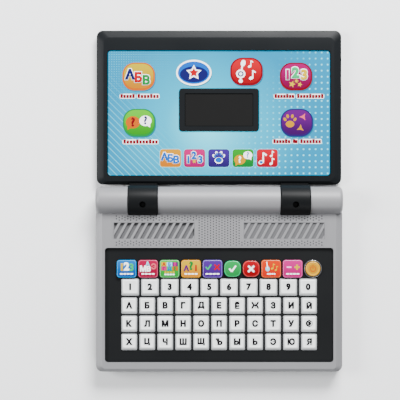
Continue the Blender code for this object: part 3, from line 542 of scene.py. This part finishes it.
def button_picture(x, y, rim_ink, name, upper, lower, width=0.0305):
    """A picture of a moulded button: a soft shadow, a rim that is wider at the foot, and a shaded face."""
    depth, corner, rim = 0.0262, 0.0112, 0.0013
    face = shaded_ink(name, upper, lower, y, depth * 0.42)
    return [
        tile(x + 0.0006, y - 0.0008, level(0), width + 0.0002, depth + 0.0002, corner, inks["shadow"]),
        tile(x, y, level(1), width, depth, corner, inks[rim_ink]),
        tile(x, y + rim * 0.35, level(2), width - 2 * rim, depth - 2.3 * rim, corner - rim * 0.8, face),
    ]


def caption(x, y, width, words):
    """A line of small print, drawn as rows of plain blocks over a white edge."""
    block_pitch, block_width = 0.0029, 0.0025
    word_gap = 0.0022
    prints = []
    left = x - width / 2
    for length in words:
        count = round(length / block_pitch)
        prints.append(tile(left + length / 2, y, level(0), length + 0.0010, 0.0046, 0.0014, inks["white"]))
        for place in range(count):
            block_x = left + (place + 0.5) * length / count
            tall = 0.0040 if place % 4 == 0 else 0.0032
            block_y = y + tall / 2 - 0.0018
            prints.append(tile(block_x, block_y, level(1), block_width, tall, 0.0005, inks["dark_red"]))
        left += length + word_gap
    return prints


def bubble(x, y, z, size, finish, tail):
    """A speech bubble with its tail to one side."""
    return [
        disc(x, y, z + ink_step * 0.4, size, size * 0.86, finish),
        star(x + tail * size * 0.28, y - size * 0.36, z, size * 0.42, finish, 0.5 * tail, 3, 0.5),
    ]


def paw(x, y, z, size, finish):
    """A paw print: a broad pad under four toes."""
    prints = [disc(x, y - size * 0.16, z, size * 0.62, size * 0.48, finish)]
    for angle, reach_out in ((-56, 0.44), (-20, 0.50), (20, 0.50), (56, 0.44)):
        lean = math.radians(angle)
        toe_x = x + math.sin(lean) * size * reach_out
        toe_y = y - size * 0.06 + math.cos(lean) * size * reach_out
        prints.append(disc(toe_x, toe_y, z + ink_step * 0.4, size * 0.20, size * 0.28, finish, -lean * 0.6))
    return prints


def note(x, y, z, size, finish):
    """A quaver: an oval head, a stem and a flag."""
    stem_x, stem_y = x + size * 0.01, y + size * 0.02
    flag_x, flag_y = x + size * 0.14, y + size * 0.30
    return [
        disc(x - size * 0.16, y - size * 0.34, z, size * 0.40, size * 0.30, finish, 0.4),
        tile(stem_x, stem_y, z + ink_step * 0.3, size * 0.11, size * 0.78, 0, finish),
        tile(flag_x, flag_y, z + ink_step * 0.6, size * 0.34, size * 0.13, 0, finish, -0.6),
    ]


prints = button_picture(-0.0758, 0.1170, "orange", "amber_face", (0.38, 0.28, 0.0), (0.34, 0.12, 0.0))
for letter, x, y, height, finish in (
    ("А", -0.0840, 0.1192, 0.0088, "navy"),
    ("Б", -0.0760, 0.1165, 0.0084, "red"),
    ("В", -0.0686, 0.1140, 0.0080, "green"),
):
    prints += haloed(letter, x, y, level(3), height, inks[finish])
prints += caption(-0.0749, 0.0984, 0.0367, (0.0140, 0.0205))
one_piece("alphabet_picture", prints, "lid")

prints = button_picture(-0.0754, 0.0734, "green", "leaf_face", (0.06, 0.34, 0.004), (0.01, 0.17, 0.004))
prints += bubble(-0.0812, 0.0738, level(3), 0.0135, inks["orange"], -1)
prints.append(lettering("?", -0.0812, 0.0742, level(4), 0.0080, inks["dark_red"], 0.05))
prints += bubble(-0.0694, 0.0752, level(5), 0.0115, inks["white"], 1)
prints.append(lettering("?", -0.0694, 0.0757, level(6), 0.0074, inks["navy"], 0.04))
prints += caption(-0.0740, 0.0554, 0.0330, (0.0330,))
one_piece("quiz_picture", prints, "lid")

prints = button_picture(0.0727, 0.1170, "dark_red", "berry_face", (0.22, 0.001, 0.075), (0.11, 0.0, 0.03))
for digit, x, y, height, finish in (
    ("1", 0.0648, 0.1188, 0.0086, "magenta"),
    ("2", 0.0722, 0.1208, 0.0094, "mint"),
    ("3", 0.0803, 0.1188, 0.0090, "yellow"),
):
    prints += haloed(digit, x, y, level(3), height, inks[finish])
for x, y, size in ((0.0690, 0.1098, 0.0066), (0.0731, 0.1128, 0.0044), (0.0763, 0.1095, 0.0050)):
    prints.append(star(x, y, level(3), size, inks["yellow"], 0.3))
prints += caption(0.0755, 0.0984, 0.0466, (0.0190, 0.0254))
one_piece("arithmetic_picture", prints, "lid")

prints = button_picture(0.0734, 0.0734, "indigo", "plum_face", (0.075, 0.004, 0.11), (0.028, 0.001, 0.055))
prints += paw(0.0670, 0.0742, level(3), 0.0130, inks["gold"])
prints.append(star(0.0795, 0.0790, level(3), 0.0078, inks["rose"], 0.5, 3, 0.35))
prints.append(star(0.0768, 0.0682, level(3), 0.0078, inks["gold"], 0.1, 3, 0.35))
prints += caption(0.0737, 0.0558, 0.0454, (0.0165, 0.0045, 0.0200))
one_piece("paw_picture", prints, "lid")

badge_x, badge_y = -0.0237, 0.1206
badge_width, badge_depth = 0.0335, 0.0245
badge_rim = 0.0032
prints = [
    disc(badge_x + 0.0005, badge_y - 0.0008, level(0), badge_width, badge_depth, inks["shadow"]),
    disc(badge_x, badge_y, level(1), badge_width, badge_depth, inks["white"]),
    disc(badge_x, badge_y, level(2), badge_width - badge_rim, badge_depth - badge_rim, inks["sky"]),
    disc(badge_x, badge_y - 0.0016, level(3), 0.0262, 0.0150, inks["navy"]),
    star(badge_x, badge_y, level(4), 0.0150, inks["white"], waist=0.5),
    star(badge_x, badge_y, level(5), 0.0096, inks["red"], waist=0.5),
]
one_piece("star_badge", prints, "lid")

poppy_top, poppy_foot = (0.36, 0.003, 0.010), (0.20, 0.0, 0.004)
prints = button_picture(0.0259, 0.1217, "dark_red", "poppy_face", poppy_top, poppy_foot, 0.0306)
clef_x, clef_y = 0.0205, 0.1195
prints += [
    disc(clef_x, clef_y, level(3), 0.0086, 0.0082, inks["white"]),
    disc(clef_x, clef_y, level(4), 0.0056, 0.0052, inks["navy"]),
    disc(clef_x, clef_y, level(5), 0.0030, 0.0028, inks["white"]),
    tile(clef_x + 0.0008, 0.1222, level(3.3), 0.0015, 0.0190, 0.0006, inks["white"], -0.12),
    disc(clef_x + 0.0023, 0.1296, level(3.6), 0.0044, 0.0062, inks["white"], -0.3),
    disc(clef_x, 0.1128, level(3.6), 0.0038, 0.0034, inks["white"]),
]
prints += note(0.0318, 0.1188, level(3), 0.0098, inks["white"])
prints += note(0.0300, 0.1290, level(3), 0.0074, inks["white"])
one_piece("music_picture", prints, "lid")

letters_x, digits_x, paw_x, bubbles_x, notes_x = -0.0458, -0.0231, -0.0002, 0.0227, 0.0456
tiles_y = 0.0400
small_tiles = (
    (letters_x, "gold", (0.42, 0.18, 0.0), (0.36, 0.10, 0.0)),
    (digits_x, "crimson", (0.34, 0.004, 0.10), (0.22, 0.0, 0.075)),
    (paw_x, "indigo", (0.035, 0.012, 0.15), (0.015, 0.006, 0.075)),
    (bubbles_x, "green", (0.01, 0.20, 0.01), (0.0, 0.11, 0.016)),
    (notes_x, "crimson", (0.36, 0.001, 0.012), (0.22, 0.0, 0.006)),
)
prints = []
for x, edge_ink, upper, lower in small_tiles:
    face = shaded_ink(f"small_face_{len(prints)}", upper, lower, tiles_y, 0.0070)
    prints += [
        tile(x, tiles_y, level(0), 0.0206, 0.0176, 0.0030, inks["pale_blue"]),
        tile(x, tiles_y, level(1), 0.0199, 0.0169, 0.0027, inks[edge_ink]),
        tile(x, tiles_y + 0.0003, level(2), 0.0187, 0.0155, 0.0022, face),
    ]
for letter, shift in (("А", -0.0056), ("Б", 0), ("В", 0.0055)):
    prints += haloed(letter, letters_x + shift, 0.0402 - shift * 0.25, level(3), 0.0066, inks["sky"])
for digit, shift, y in (("1", -0.0058, 0.0388), ("2", -0.0005, 0.0427), ("3", 0.0055, 0.0388)):
    prints += haloed(digit, digits_x + shift, y, level(3), 0.0066, inks["sky"])
prints.append(star(digits_x - 0.0002, 0.0370, level(3), 0.0044, inks["yellow"]))
prints += paw(paw_x, 0.0398, level(3), 0.0124, inks["white"])
prints += paw(paw_x, 0.0398, level(4), 0.0100, inks["sky"])
prints += bubble(bubbles_x - 0.0030, 0.0385, level(3), 0.0108, inks["gold"], -1)
prints.append(lettering("?", bubbles_x - 0.0030, 0.0387, level(4), 0.0060, inks["white"], 0.04))
prints += bubble(bubbles_x + 0.0045, 0.0428, level(5), 0.0086, inks["white"], 1)
prints.append(lettering("?", bubbles_x + 0.0045, 0.0431, level(6), 0.0054, inks["sky"], 0.03))
prints += note(notes_x + 0.0046, 0.0372, level(3), 0.0072, inks["white"])
prints += note(notes_x + 0.0046, 0.0442, level(3), 0.0062, inks["white"])
prints += note(notes_x - 0.0040, 0.0402, level(3), 0.0120, inks["white"])
prints.append(disc(notes_x - 0.0058, 0.0362, level(4), 0.0032, 0.0026, inks["sky"]))
one_piece("small_pictures", prints, "lid")

# ---- Typing keys: ten digit caps and three rows of eleven letter caps ----
# Each cap is moulded in white ABS: upright at the panel, then sloping to a dished top that is set back from
# the front. The digit or letter is pad-printed in black in the middle of the dish.
panel_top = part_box("keyboard_panel")[1].z
cap_bottom = panel_top - 0.0006
cap_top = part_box("digit_key_1")[1].z
set_back = 0.00055
cap_plastic = moulded("white_key_plastic", (0.78, 0.80, 0.80), 0.3, 0.0006, 0.000006, 0.02)
_, _, up = cap_plastic.place()
# Painted shade: each cap is painted darker down its sides towards the panel, and a little darker in its dish.
painted_dish_shade = (cap_top - 0.0001 - up).ramp(0, 0.0004) * (up - (cap_top - 0.0007)).ramp(0, 0.0002) * 0.16
painted_light_share = (up - (cap_top - 0.0021)).ramp(0, 0.0019) * (1 - painted_dish_shade)
cap_plastic.feed("Base Color", cap_plastic.mix(painted_light_share, (0.30, 0.31, 0.32), (0.80, 0.83, 0.82)))


def select_edges(test):
    """Selects the edges of the open mesh whose two ends pass a test."""
    bpy.ops.mesh.select_mode(type="EDGE")
    bpy.ops.mesh.select_all(action="DESELECT")
    shape = bmesh.from_edit_mesh(bpy.context.object.data)
    for edge in shape.edges:
        edge.select_set(test(*(vertex.co for vertex in edge.verts)))
    shape.select_flush_mode()
    bmesh.update_edit_mesh(bpy.context.object.data)


def block(x, y, z, width, depth, height):
    """A plain box about its middle."""
    bpy.ops.mesh.primitive_cube_add(size=1, location=(x, y, z))
    made = bpy.context.object
    made.scale = (width, depth, height)
    bpy.ops.object.transform_apply(location=True, rotation=True, scale=True)
    return made


def typing_cap(x, y, width, depth):
    """One cap. Its sides slope from the shoulder to the land, and its corners and rims are rounded."""
    shoulder = panel_top + 0.0005
    slopes_width, slopes_depth = 0.0040, 0.0045
    cap = block(x, y, (cap_bottom + shoulder) / 2, width, depth, shoulder - cap_bottom)
    bpy.ops.object.mode_set(mode="EDIT")
    bpy.ops.mesh.select_mode(type="FACE")
    select_faces(lambda normal, centre: normal.z > 0.9)
    bpy.ops.mesh.extrude_region_move(TRANSFORM_OT_translate={"value": (0, set_back, cap_top - shoulder)})
    land = ((width - slopes_width) / width, (depth - slopes_depth) / depth, 1)
    bpy.ops.transform.resize(value=land, center_override=(x, y + set_back, cap_top))
    bpy.ops.mesh.inset(thickness=0.0011, depth=-0.00028)
    bpy.ops.mesh.inset(thickness=0.0012, depth=-0.00012)
    select_edges(lambda one, other: abs(one.z - other.z) > 0.0004 and (one - other).xy.length < 0.0045)
    bpy.ops.mesh.bevel(offset=0.0013, segments=3, affect="EDGES")
    select_edges(lambda one, other: min(one.z, other.z) > cap_top - 0.00001)
    bpy.ops.mesh.bevel(offset=0.0004, segments=2, affect="EDGES")
    bpy.ops.object.mode_set(mode="OBJECT")
    cap.data.materials.append(cap_plastic.material)
    bpy.ops.object.shade_smooth_by_angle(angle=math.radians(40))
    return cap


def legend(text, x, y, height):
    """The black print at the bottom of a cap's dish."""
    return lettering(text, x, y + set_back, cap_top - 0.00039, height, inks["black"], 0.075)


for digit in "1234567890":
    low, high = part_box(f"digit_key_{digit}")
    x, y = (low.x + high.x) / 2, (low.y + high.y) / 2
    parts = [typing_cap(x, y, 0.0167, 0.0160), legend(digit, x, y, 0.0056)]
    made = one_piece(f"digit_cap_{digit}", parts, f"digit_key_{digit}_cap")
    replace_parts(made, f"digit_key_{digit}")

letter_pitch = 0.01684
for row, letters in (("upper", "АБВГДЕЁЖЗИЙ"), ("middle", "КЛМНОПРСТУФ"), ("lower", "ХЦЧШЩЪЫЬЭЮЯ")):
    low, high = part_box(f"letter_keys_{row}")
    y = (low.y + high.y) / 2
    parts = []
    for place, letter in enumerate(letters):
        x = (place - (len(letters) - 1) / 2) * letter_pitch
        parts += [typing_cap(x, y, 0.0149, 0.0153), legend(letter, x, y, 0.0054)]
    made = one_piece(f"letter_caps_{row}", parts, f"letter_keys_{row}_strip")
    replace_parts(made, f"letter_keys_{row}")

# ---- Function buttons: nine coloured caps over the digits ----
# Each cap of coloured plastic carries a printed card, so it shows its picture inside a thin rim of its own
# paler colour. Yes and no are smaller and rounder than the rest.


def printed_button(node, corner, colours, picture):
    """A rounded cap, its shaded card and the card's picture. Colours are the rim's, card's back and front."""
    side_trim, end_trim = 0.0011, 0.0002
    card_margin = 0.0008
    rim_colour, upper, lower = colours
    low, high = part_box(node)
    x, y = (low.x + high.x) / 2, (low.y + high.y) / 2
    width, depth = high.x - low.x - side_trim, high.y - low.y - end_trim
    cap = block(x, y, (cap_bottom + high.z) / 2, width, depth, high.z - cap_bottom)
    bpy.ops.object.mode_set(mode="EDIT")
    select_edges(lambda one, other: abs(one.z - other.z) > 0.001)
    bpy.ops.mesh.bevel(offset=corner, segments=10, affect="EDGES")
    select_edges(lambda one, other: min(one.z, other.z) > high.z - 0.00001)
    bpy.ops.mesh.bevel(offset=0.0007, segments=4, affect="EDGES")
    bpy.ops.object.mode_set(mode="OBJECT")
    plastic = moulded(f"{node}_plastic", rim_colour, 0.25, 0.0006, 0.000004, 0.02, specular_ior_level=0.4)
    cap.data.materials.append(plastic.material)
    bpy.ops.object.shade_smooth_by_angle(angle=math.radians(40))
    face = shaded_ink(f"{node}_card", upper, lower, y, depth * 0.45)
    card_width, card_depth = width - 2 * card_margin, depth - 2 * card_margin
    card = tile(x, y, high.z, card_width, card_depth, corner - card_margin * 0.5, face)
    parts = [cap, card] + picture(x, y, high.z + ink_step)
    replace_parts(one_piece(f"{node}_print", parts, f"{node}_cap"), node)


def small_words(x, y, z, width, finish):
    """A button's line of small print, as four short dashes."""
    dash_width, dash_depth = width / 4.8, 0.0013
    return [
        tile(x + (place - 1.5) * width / 4, y, z, dash_width, dash_depth, 0.0004, inks[finish])
        for place in range(4)
    ]


def letters_picture(letters):
    """A button's picture made of letters, each with its x, y, height and ink, over a line of print."""

    def picture(x, y, z):
        prints = []
        for letter, shift_x, shift_y, height, finish in letters:
            prints.append(lettering(letter, x + shift_x, y + shift_y, z, height, inks[finish], 0.06))
        return prints + small_words(x, y - 0.0047, z, 0.0128, "white")

    return picture


def tiles_picture(x, y, z):
    """Six little tiles with a letter each, over two lines of print."""
    prints = []
    tiles = (
        ("А", "yellow", "red"), ("Б", "pale_blue", "sky"), ("В", "purple", "pink"),
        ("Г", "pink", "magenta"), ("Д", "mint", "sky"), ("Е", "orange", "green"),
    )
    for place, (letter, ground_ink, finish) in enumerate(tiles):
        tile_x, tile_y = x + (place % 3 - 1) * 0.0052, y + 0.0044 - (place // 3) * 0.0040
        prints.append(tile(tile_x, tile_y, z, 0.0051, 0.0039, 0.0003, inks[ground_ink]))
        prints.append(lettering(letter, tile_x, tile_y, z + ink_step, 0.0030, inks[finish], 0.06))
    prints += small_words(x, y - 0.0031, z, 0.0100, "yellow")
    return prints + small_words(x, y - 0.0052, z, 0.0100, "white")


def tick(x, y, z, size, finish):
    """A tick of one short and one long stroke."""
    short_x, short_y = x - size * 0.24, y - size * 0.14
    long_x, long_y = x + size * 0.14, y + size * 0.02
    stroke = size * 0.20
    return [
        tile(short_x, short_y, z, size * 0.46, stroke, 0, inks[finish], -0.85),
        tile(long_x, long_y, z + ink_step * 0.4, size * 0.88, stroke, 0, inks[finish], 0.95),
    ]


def cross(x, y, z, size, finish):
    """Two strokes that cross."""
    return [
        tile(x, y, z + (side + 1) * ink_step * 0.2, size, size * 0.22, 0, inks[finish], side * 0.8)
        for side in (-1, 1)
    ]


def quiz_button_picture(x, y, z):
    """A tick beside a cross."""
    prints = tick(x - 0.0038, y + 0.0016, z, 0.0066, "mint")
    prints += cross(x + 0.0042, y + 0.0016, z, 0.0070, "red")
    return prints + small_words(x, y - 0.0047, z, 0.0135, "white")


def songs_picture(x, y, z):
    """A little guitar and two notes."""
    prints = [disc(x - 0.0034, y, z, 0.0038, 0.0046, inks["pale_blue"], 0.2)]
    prints.append(tile(x - 0.0038, y + 0.0036, z + ink_step * 0.4, 0.0009, 0.0060, 0, inks["white"], 0.15))
    prints += note(x + 0.0018, y + 0.0024, z, 0.0062, inks["yellow"])
    prints += note(x + 0.0050, y + 0.0006, z, 0.0052, inks["yellow"])
    return prints + small_words(x, y - 0.0047, z, 0.0080, "white")


def volume_picture(x, y, z):
    """A minus and a plus."""
    signs_y = y + 0.0016
    prints = [
        tile(x - 0.0034, signs_y, z, 0.0044, 0.0014, 0.0004, inks["pale_pink"]),
        tile(x + 0.0040, signs_y, z, 0.0050, 0.0017, 0.0004, inks["yellow"]),
        tile(x + 0.0040, signs_y, z + ink_step * 0.4, 0.0017, 0.0050, 0.0004, inks["yellow"]),
    ]
    return prints + small_words(x, y - 0.0047, z, 0.0128, "white")


arithmetic_digits = letters_picture((
    ("1", -0.0044, 0.0016, 0.0066, "yellow"), ("2", 0.0, 0.0022, 0.0072, "white"),
    ("3", 0.0046, 0.0014, 0.0066, "mint"),
))
alphabet_letters = letters_picture((
    ("М", -0.0046, 0.0002, 0.0052, "white"), ("А", -0.0004, 0.0046, 0.0040, "pale_blue"),
    ("В", 0.0006, 0.0000, 0.0046, "white"), ("Э", 0.0052, 0.0022, 0.0050, "rose"),
))
question_letters = letters_picture((
    ("А", -0.0044, 0.0006, 0.0050, "purple"), ("?", 0.0, 0.0030, 0.0074, "green"),
    ("1", 0.0046, 0.0008, 0.0052, "red"),
))
square, rounder = 0.0026, 0.0054
for node, slot, corner, colours, picture in (
    ("arithmetic_button", "blue_button", square,
     ((0.0, 0.20, 0.48), (0.0, 0.10, 0.34), (0.0, 0.04, 0.20)), arithmetic_digits),
    ("alphabet_button", "crimson_button", square,
     ((0.40, 0.04, 0.10), (0.27, 0.001, 0.035), (0.16, 0.0, 0.018)), alphabet_letters),
    ("tile_words_button", "tile_button", square,
     ((0.10, 0.36, 0.12), (0.02, 0.30, 0.02), (0.0, 0.18, 0.015)), tiles_picture),
    ("question_button", "yellow_button", square,
     ((0.52, 0.22, 0.0), (0.44, 0.28, 0.0), (0.38, 0.13, 0.0)), question_letters),
    ("quiz_button", "purple_button", square,
     ((0.13, 0.08, 0.36), (0.055, 0.014, 0.17), (0.032, 0.005, 0.11)), quiz_button_picture),
    ("yes_button", "green_button", rounder,
     ((0.0, 0.32, 0.10), (0.0, 0.23, 0.045), (0.0, 0.15, 0.028)),
     lambda x, y, z: tick(x, y, z, 0.0078, "white")),
    ("no_button", "red_button", rounder,
     ((0.40, 0.03, 0.03), (0.27, 0.0, 0.006), (0.15, 0.0, 0.002)),
     lambda x, y, z: cross(x, y, z, 0.0078, "white")),
    ("music_button", "orange_button", square,
     ((0.52, 0.09, 0.02), (0.46, 0.026, 0.001), (0.36, 0.008, 0.001)), songs_picture),
    ("volume_button", "pink_button", square,
     ((0.46, 0.06, 0.22), (0.38, 0.008, 0.14), (0.26, 0.0, 0.085)), volume_picture),
):
    printed_button(node, corner, colours, picture)

# ---- Power button: a golden dome in a ring ----
# It is moulded with a low raised rim, and its sign is printed: a broken ring with a stroke through the gap.
# A thin bright trim lies on the black ring round it.
dome_radius = 0.0069
low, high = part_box("power_button")
x, y = (low.x + high.x) / 2, (low.y + high.y) / 2
middle = (x, y, (high.z + cap_bottom) / 2)
bpy.ops.mesh.primitive_cylinder_add(
    vertices=64, radius=dome_radius, depth=high.z - cap_bottom, location=middle
)
dome = bpy.context.object
bpy.ops.object.transform_apply(location=True, rotation=True, scale=True)
bpy.ops.object.mode_set(mode="EDIT")
select_edges(lambda one, other: min(one.z, other.z) > high.z - 0.00001)
bpy.ops.mesh.bevel(offset=0.0008, segments=4, affect="EDGES")
bpy.ops.mesh.select_mode(type="FACE")
select_faces(lambda normal, centre: normal.z > 0.999)
bpy.ops.mesh.inset(thickness=0.0004, depth=0)
bpy.ops.mesh.inset(thickness=0.0003, depth=-0.0003)
bpy.ops.object.mode_set(mode="OBJECT")
gold = moulded("golden_plastic", (0.50, 0.25, 0.002), 0.28, 0.0006, 0.000004, 0.01, specular_ior_level=0.5)
dome.data.materials.append(gold.material)
bpy.ops.object.shade_smooth_by_angle(angle=math.radians(40))
sign_z = high.z - 0.0003
parts = [
    dome,
    disc(x, y, sign_z, 0.0092, 0.0092, inks["gold"], sides=64),
    disc(x, y, sign_z + ink_step, 0.0058, 0.0058, inks["orange"], sides=64),
    disc(x, y, sign_z + 2 * ink_step, 0.0040, 0.0040, inks["gold"], sides=64),
    tile(x, y + 0.0024, sign_z + 3 * ink_step, 0.0022, 0.0022, 0, inks["gold"]),
    tile(x, y + 0.0020, sign_z + 4 * ink_step, 0.0009, 0.0038, 0, inks["orange"]),
]
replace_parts(one_piece("power_dome", parts, "power_button_cap"), "power_button")

moulded("ring_plastic", (0.02, 0.02, 0.022), 0.3, specular_ior_level=0.4).paint("power_button_ring")
trim_place = (x, y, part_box("power_button_ring")[1].z - 0.0002)
bpy.ops.mesh.primitive_torus_add(
    location=trim_place, major_radius=0.0079, minor_radius=0.00026, major_segments=96, minor_segments=12
)
trim = bpy.context.object
bright = moulded("bright_trim", (0.45, 0.45, 0.46), 0.25, 0.0004, 0.000002, 0.01, metallic=0.8)
trim.data.materials.append(bright.material)
bpy.ops.object.shade_smooth()
one_piece("power_button_trim", [trim], "base")

# ---- Speaker grille: a perforated silver skin in the deck's recess ----
# It is a thin sheet with a window over each set of leaning slots and staggered columns of round holes round
# them. A smooth band is left round each window. Dark cloth lies under the open slots.
skin_half_width, skin_back, skin_front = 0.0999, -0.0130, -0.0425
window_inner, window_outer, window_back, window_front = 0.0230, 0.0987, -0.0206, -0.0360
skin_top, skin_bottom = 0.01996, 0.01962
through = 0.004
skin = block(
    0, (skin_back + skin_front) / 2, (skin_top + skin_bottom) / 2,
    2 * skin_half_width, skin_back - skin_front, skin_top - skin_bottom,
)
cutters = []
for side in (-1, 1):
    cutters.append(block(
        side * (window_inner + window_outer) / 2, (window_back + window_front) / 2, skin_top,
        window_outer - window_inner, window_back - window_front, through,
    ))
hole_radius, column_pitch, row_pitch, first_row = 0.00064, 0.00267, 0.00246, -0.0146
# Each block of holes: first column, columns, first row, rows. Odd columns sit half a row further forward.
hole_blocks = (
    (-36, 37, 0, 2), (-36, 37, 10, 2), (-6, 7, 2, 8), (-35, 36, 0, 2), (-35, 36, 9, 2), (-7, 8, 2, 7),
)
for column, columns, row, rows in hole_blocks:
    first = (column * column_pitch, first_row - (row + column % 2 / 2) * row_pitch, skin_top)
    bpy.ops.mesh.primitive_cylinder_add(vertices=12, radius=hole_radius, depth=through, location=first)
    cutter = bpy.context.object
    bpy.ops.object.transform_apply(location=True, rotation=True, scale=True)
    for count, shift in ((columns, (2 * column_pitch, 0, 0)), (rows, (0, -row_pitch, 0))):
        bpy.ops.object.modifier_add(type="ARRAY")
        array = cutter.modifiers[-1]
        array.count = count
        array.use_relative_offset = False
        array.use_constant_offset = True
        array.constant_offset_displace = shift
        bpy.ops.object.modifier_apply(modifier=array.name)
    cutters.append(cutter)
carve(skin, [joined(cutters)])
skin.data.materials.clear()
skin.data.materials.append(silver.material)
one_piece("grille_skin", [skin], "base")
moulded("dust_cloth", (0.085, 0.085, 0.09), 0.9, 0.0004, 0.00005).paint("speaker_dust_screen")

# ---- Spine and knuckles: smooth skins over the turned parts ----
# The spine is one smooth roll with rounded ends, broken by the two knuckles. Its skin runs from the deck over
# the top and down to the parting line at the back. Each knuckle's black skin has a deep hole for its screw.
axis_z = 0.0155


def roll(left, right, radius, finish, rounded, rounding):
    """A smooth tube along X from left to right, with a rounded rim at the chosen ends."""
    bpy.ops.mesh.primitive_cylinder_add(
        vertices=128, radius=radius, depth=right - left, location=((left + right) / 2, 0, axis_z),
        rotation=(0, math.pi / 2, 0),
    )
    made = bpy.context.object
    bpy.ops.object.transform_apply(location=True, rotation=True, scale=True)
    bpy.ops.object.mode_set(mode="EDIT")
    for end in rounded:
        select_edges(lambda one, other: abs(one.x - end) < 0.00001 and abs(other.x - end) < 0.00001)
        bpy.ops.mesh.bevel(offset=rounding, segments=8, affect="EDGES")
    bpy.ops.object.mode_set(mode="OBJECT")
    made.data.materials.append(finish.material)
    return made


def drop_faces(test):
    """Removes the faces of the active object whose middle passes a test."""
    bpy.ops.object.mode_set(mode="EDIT")
    bpy.ops.mesh.select_mode(type="FACE")
    select_faces(lambda normal, centre: test(centre))
    bpy.ops.mesh.delete(type="FACE")
    bpy.ops.object.mode_set(mode="OBJECT")


spine_skin_radius = 0.01306
slot_inner, slot_outer, spine_end = 0.0570, 0.0856, 0.11556
deck_top, deck_edge_y = 0.0200, -0.0122
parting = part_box("base_top_housing")[0].z
rolls = []
for left, right, rounded in (
    (-spine_end, -slot_outer, [-spine_end]),
    (-slot_inner, slot_inner, []),
    (slot_outer, spine_end, [spine_end]),
):
    made = roll(left, right, spine_skin_radius, silver, rounded, 0.004)
    inner_ends = [end for end in (left, right) if end not in rounded]
    drop_faces(lambda centre: (
        centre.z < parting
        or (centre.y < deck_edge_y and centre.z < deck_top)
        or any(abs(centre.x - end) < 0.00001 for end in inner_ends)
    ))
    bpy.ops.object.shade_smooth()
    rolls.append(made)
one_piece("spine_skin", rolls, "base")

hinge_black = moulded("hinge_plastic", (0.005, 0.0055, 0.006), 0.4, specular_ior_level=0.1)
hinge_black.paint("hinge_knuckle_left", "hinge_knuckle_right")
knuckle_black = moulded("knuckle_plastic", (0.004, 0.0045, 0.005), 0.45, specular_ior_level=0.08)
knuckle_skin_radius, knuckle_half_width = 0.01456, 0.01402
screw_hole_radius, screw_hole_y = 0.0029, -0.0037
neck_side_y = 0.0120
for side, name in ((-1, "left"), (1, "right")):
    middle = side * knuckle_x
    ends = [middle - knuckle_half_width, middle + knuckle_half_width]
    made = roll(*ends, knuckle_skin_radius, knuckle_black, ends, 0.0012)
    drill_place = (middle, screw_hole_y, axis_z + 0.0146)
    bpy.ops.mesh.primitive_cylinder_add(
        vertices=48, radius=screw_hole_radius, depth=0.018, location=drill_place
    )
    carve(made, [bpy.context.object])
    drop_faces(lambda centre: (
        (centre.z < axis_z + 0.001 and centre.y > neck_side_y)
        or abs(centre.x - middle) > knuckle_half_width - 0.00001
    ))
    bpy.ops.object.shade_smooth_by_angle(angle=math.radians(35))
    one_piece(f"knuckle_skin_{name}", [made], "lid")

# ---- Display window: a dark clear pane in the bezel ----
# It is smoked polycarbonate, smooth but not polished, and the display behind it is off.
pane = Finish("display_glass", (0.008, 0.008, 0.008), 0.22, specular_ior_level=0.12)
pane.feed("Roughness", 0.2 + pane.noise(0.02) * 0.08).paint("display_glass")

# ---- Small parts: feet, screws and what the case holds ----
# Plated steel screws and pins hold the base and the hinges. The screws that close the knuckles are painted
# near black, as painted shade deep in their holes. The feet are rubber. The boards, speaker, key sheet,
# contacts and cells keep the finish of their own materials.
rubber = moulded("black_rubber", (0.012, 0.012, 0.012), 0.8)
rubber.paint(*(f"rubber_foot_{place}" for place in range(1, 5)))
steel = moulded("plated_steel", (0.55, 0.55, 0.53), 0.3, 0.0003, 0.000004, 0.004, metallic=1.0)
steel.paint("battery_door_screw", "hinge_pin_left", "hinge_pin_right")
steel.paint(*(f"base_screw_{place}" for place in range(1, 5)))
# Painted shade: the knuckle screws are painted near black so their deep holes stay dark.
painted_dark_steel = moulded("screw_steel_painted_dark", (0.02, 0.02, 0.02), 0.45, metallic=0.6)
painted_dark_steel.paint("hinge_screw_left", "hinge_screw_right")
pale_steel = moulded("contact_steel", (0.6, 0.6, 0.58), 0.35, metallic=1.0)
pale_steel.paint("battery_contact_left", "battery_contact_right", "speaker_frame")
moulded("cone_paper", (0.02, 0.02, 0.02), 0.9, 0.0004, 0.00004).paint("speaker_cone")
moulded("circuit_board", (0.01, 0.10, 0.03), 0.45, 0.0008).paint("main_circuit_board", "display_board")
moulded("grey_silicone", (0.35, 0.35, 0.33), 0.7).paint("key_dome_sheet")
sleeve = moulded("battery_sleeve", (0.01, 0.05, 0.2), 0.35)
sleeve.paint(*(f"battery_cell_{place}" for place in range(1, 5)))
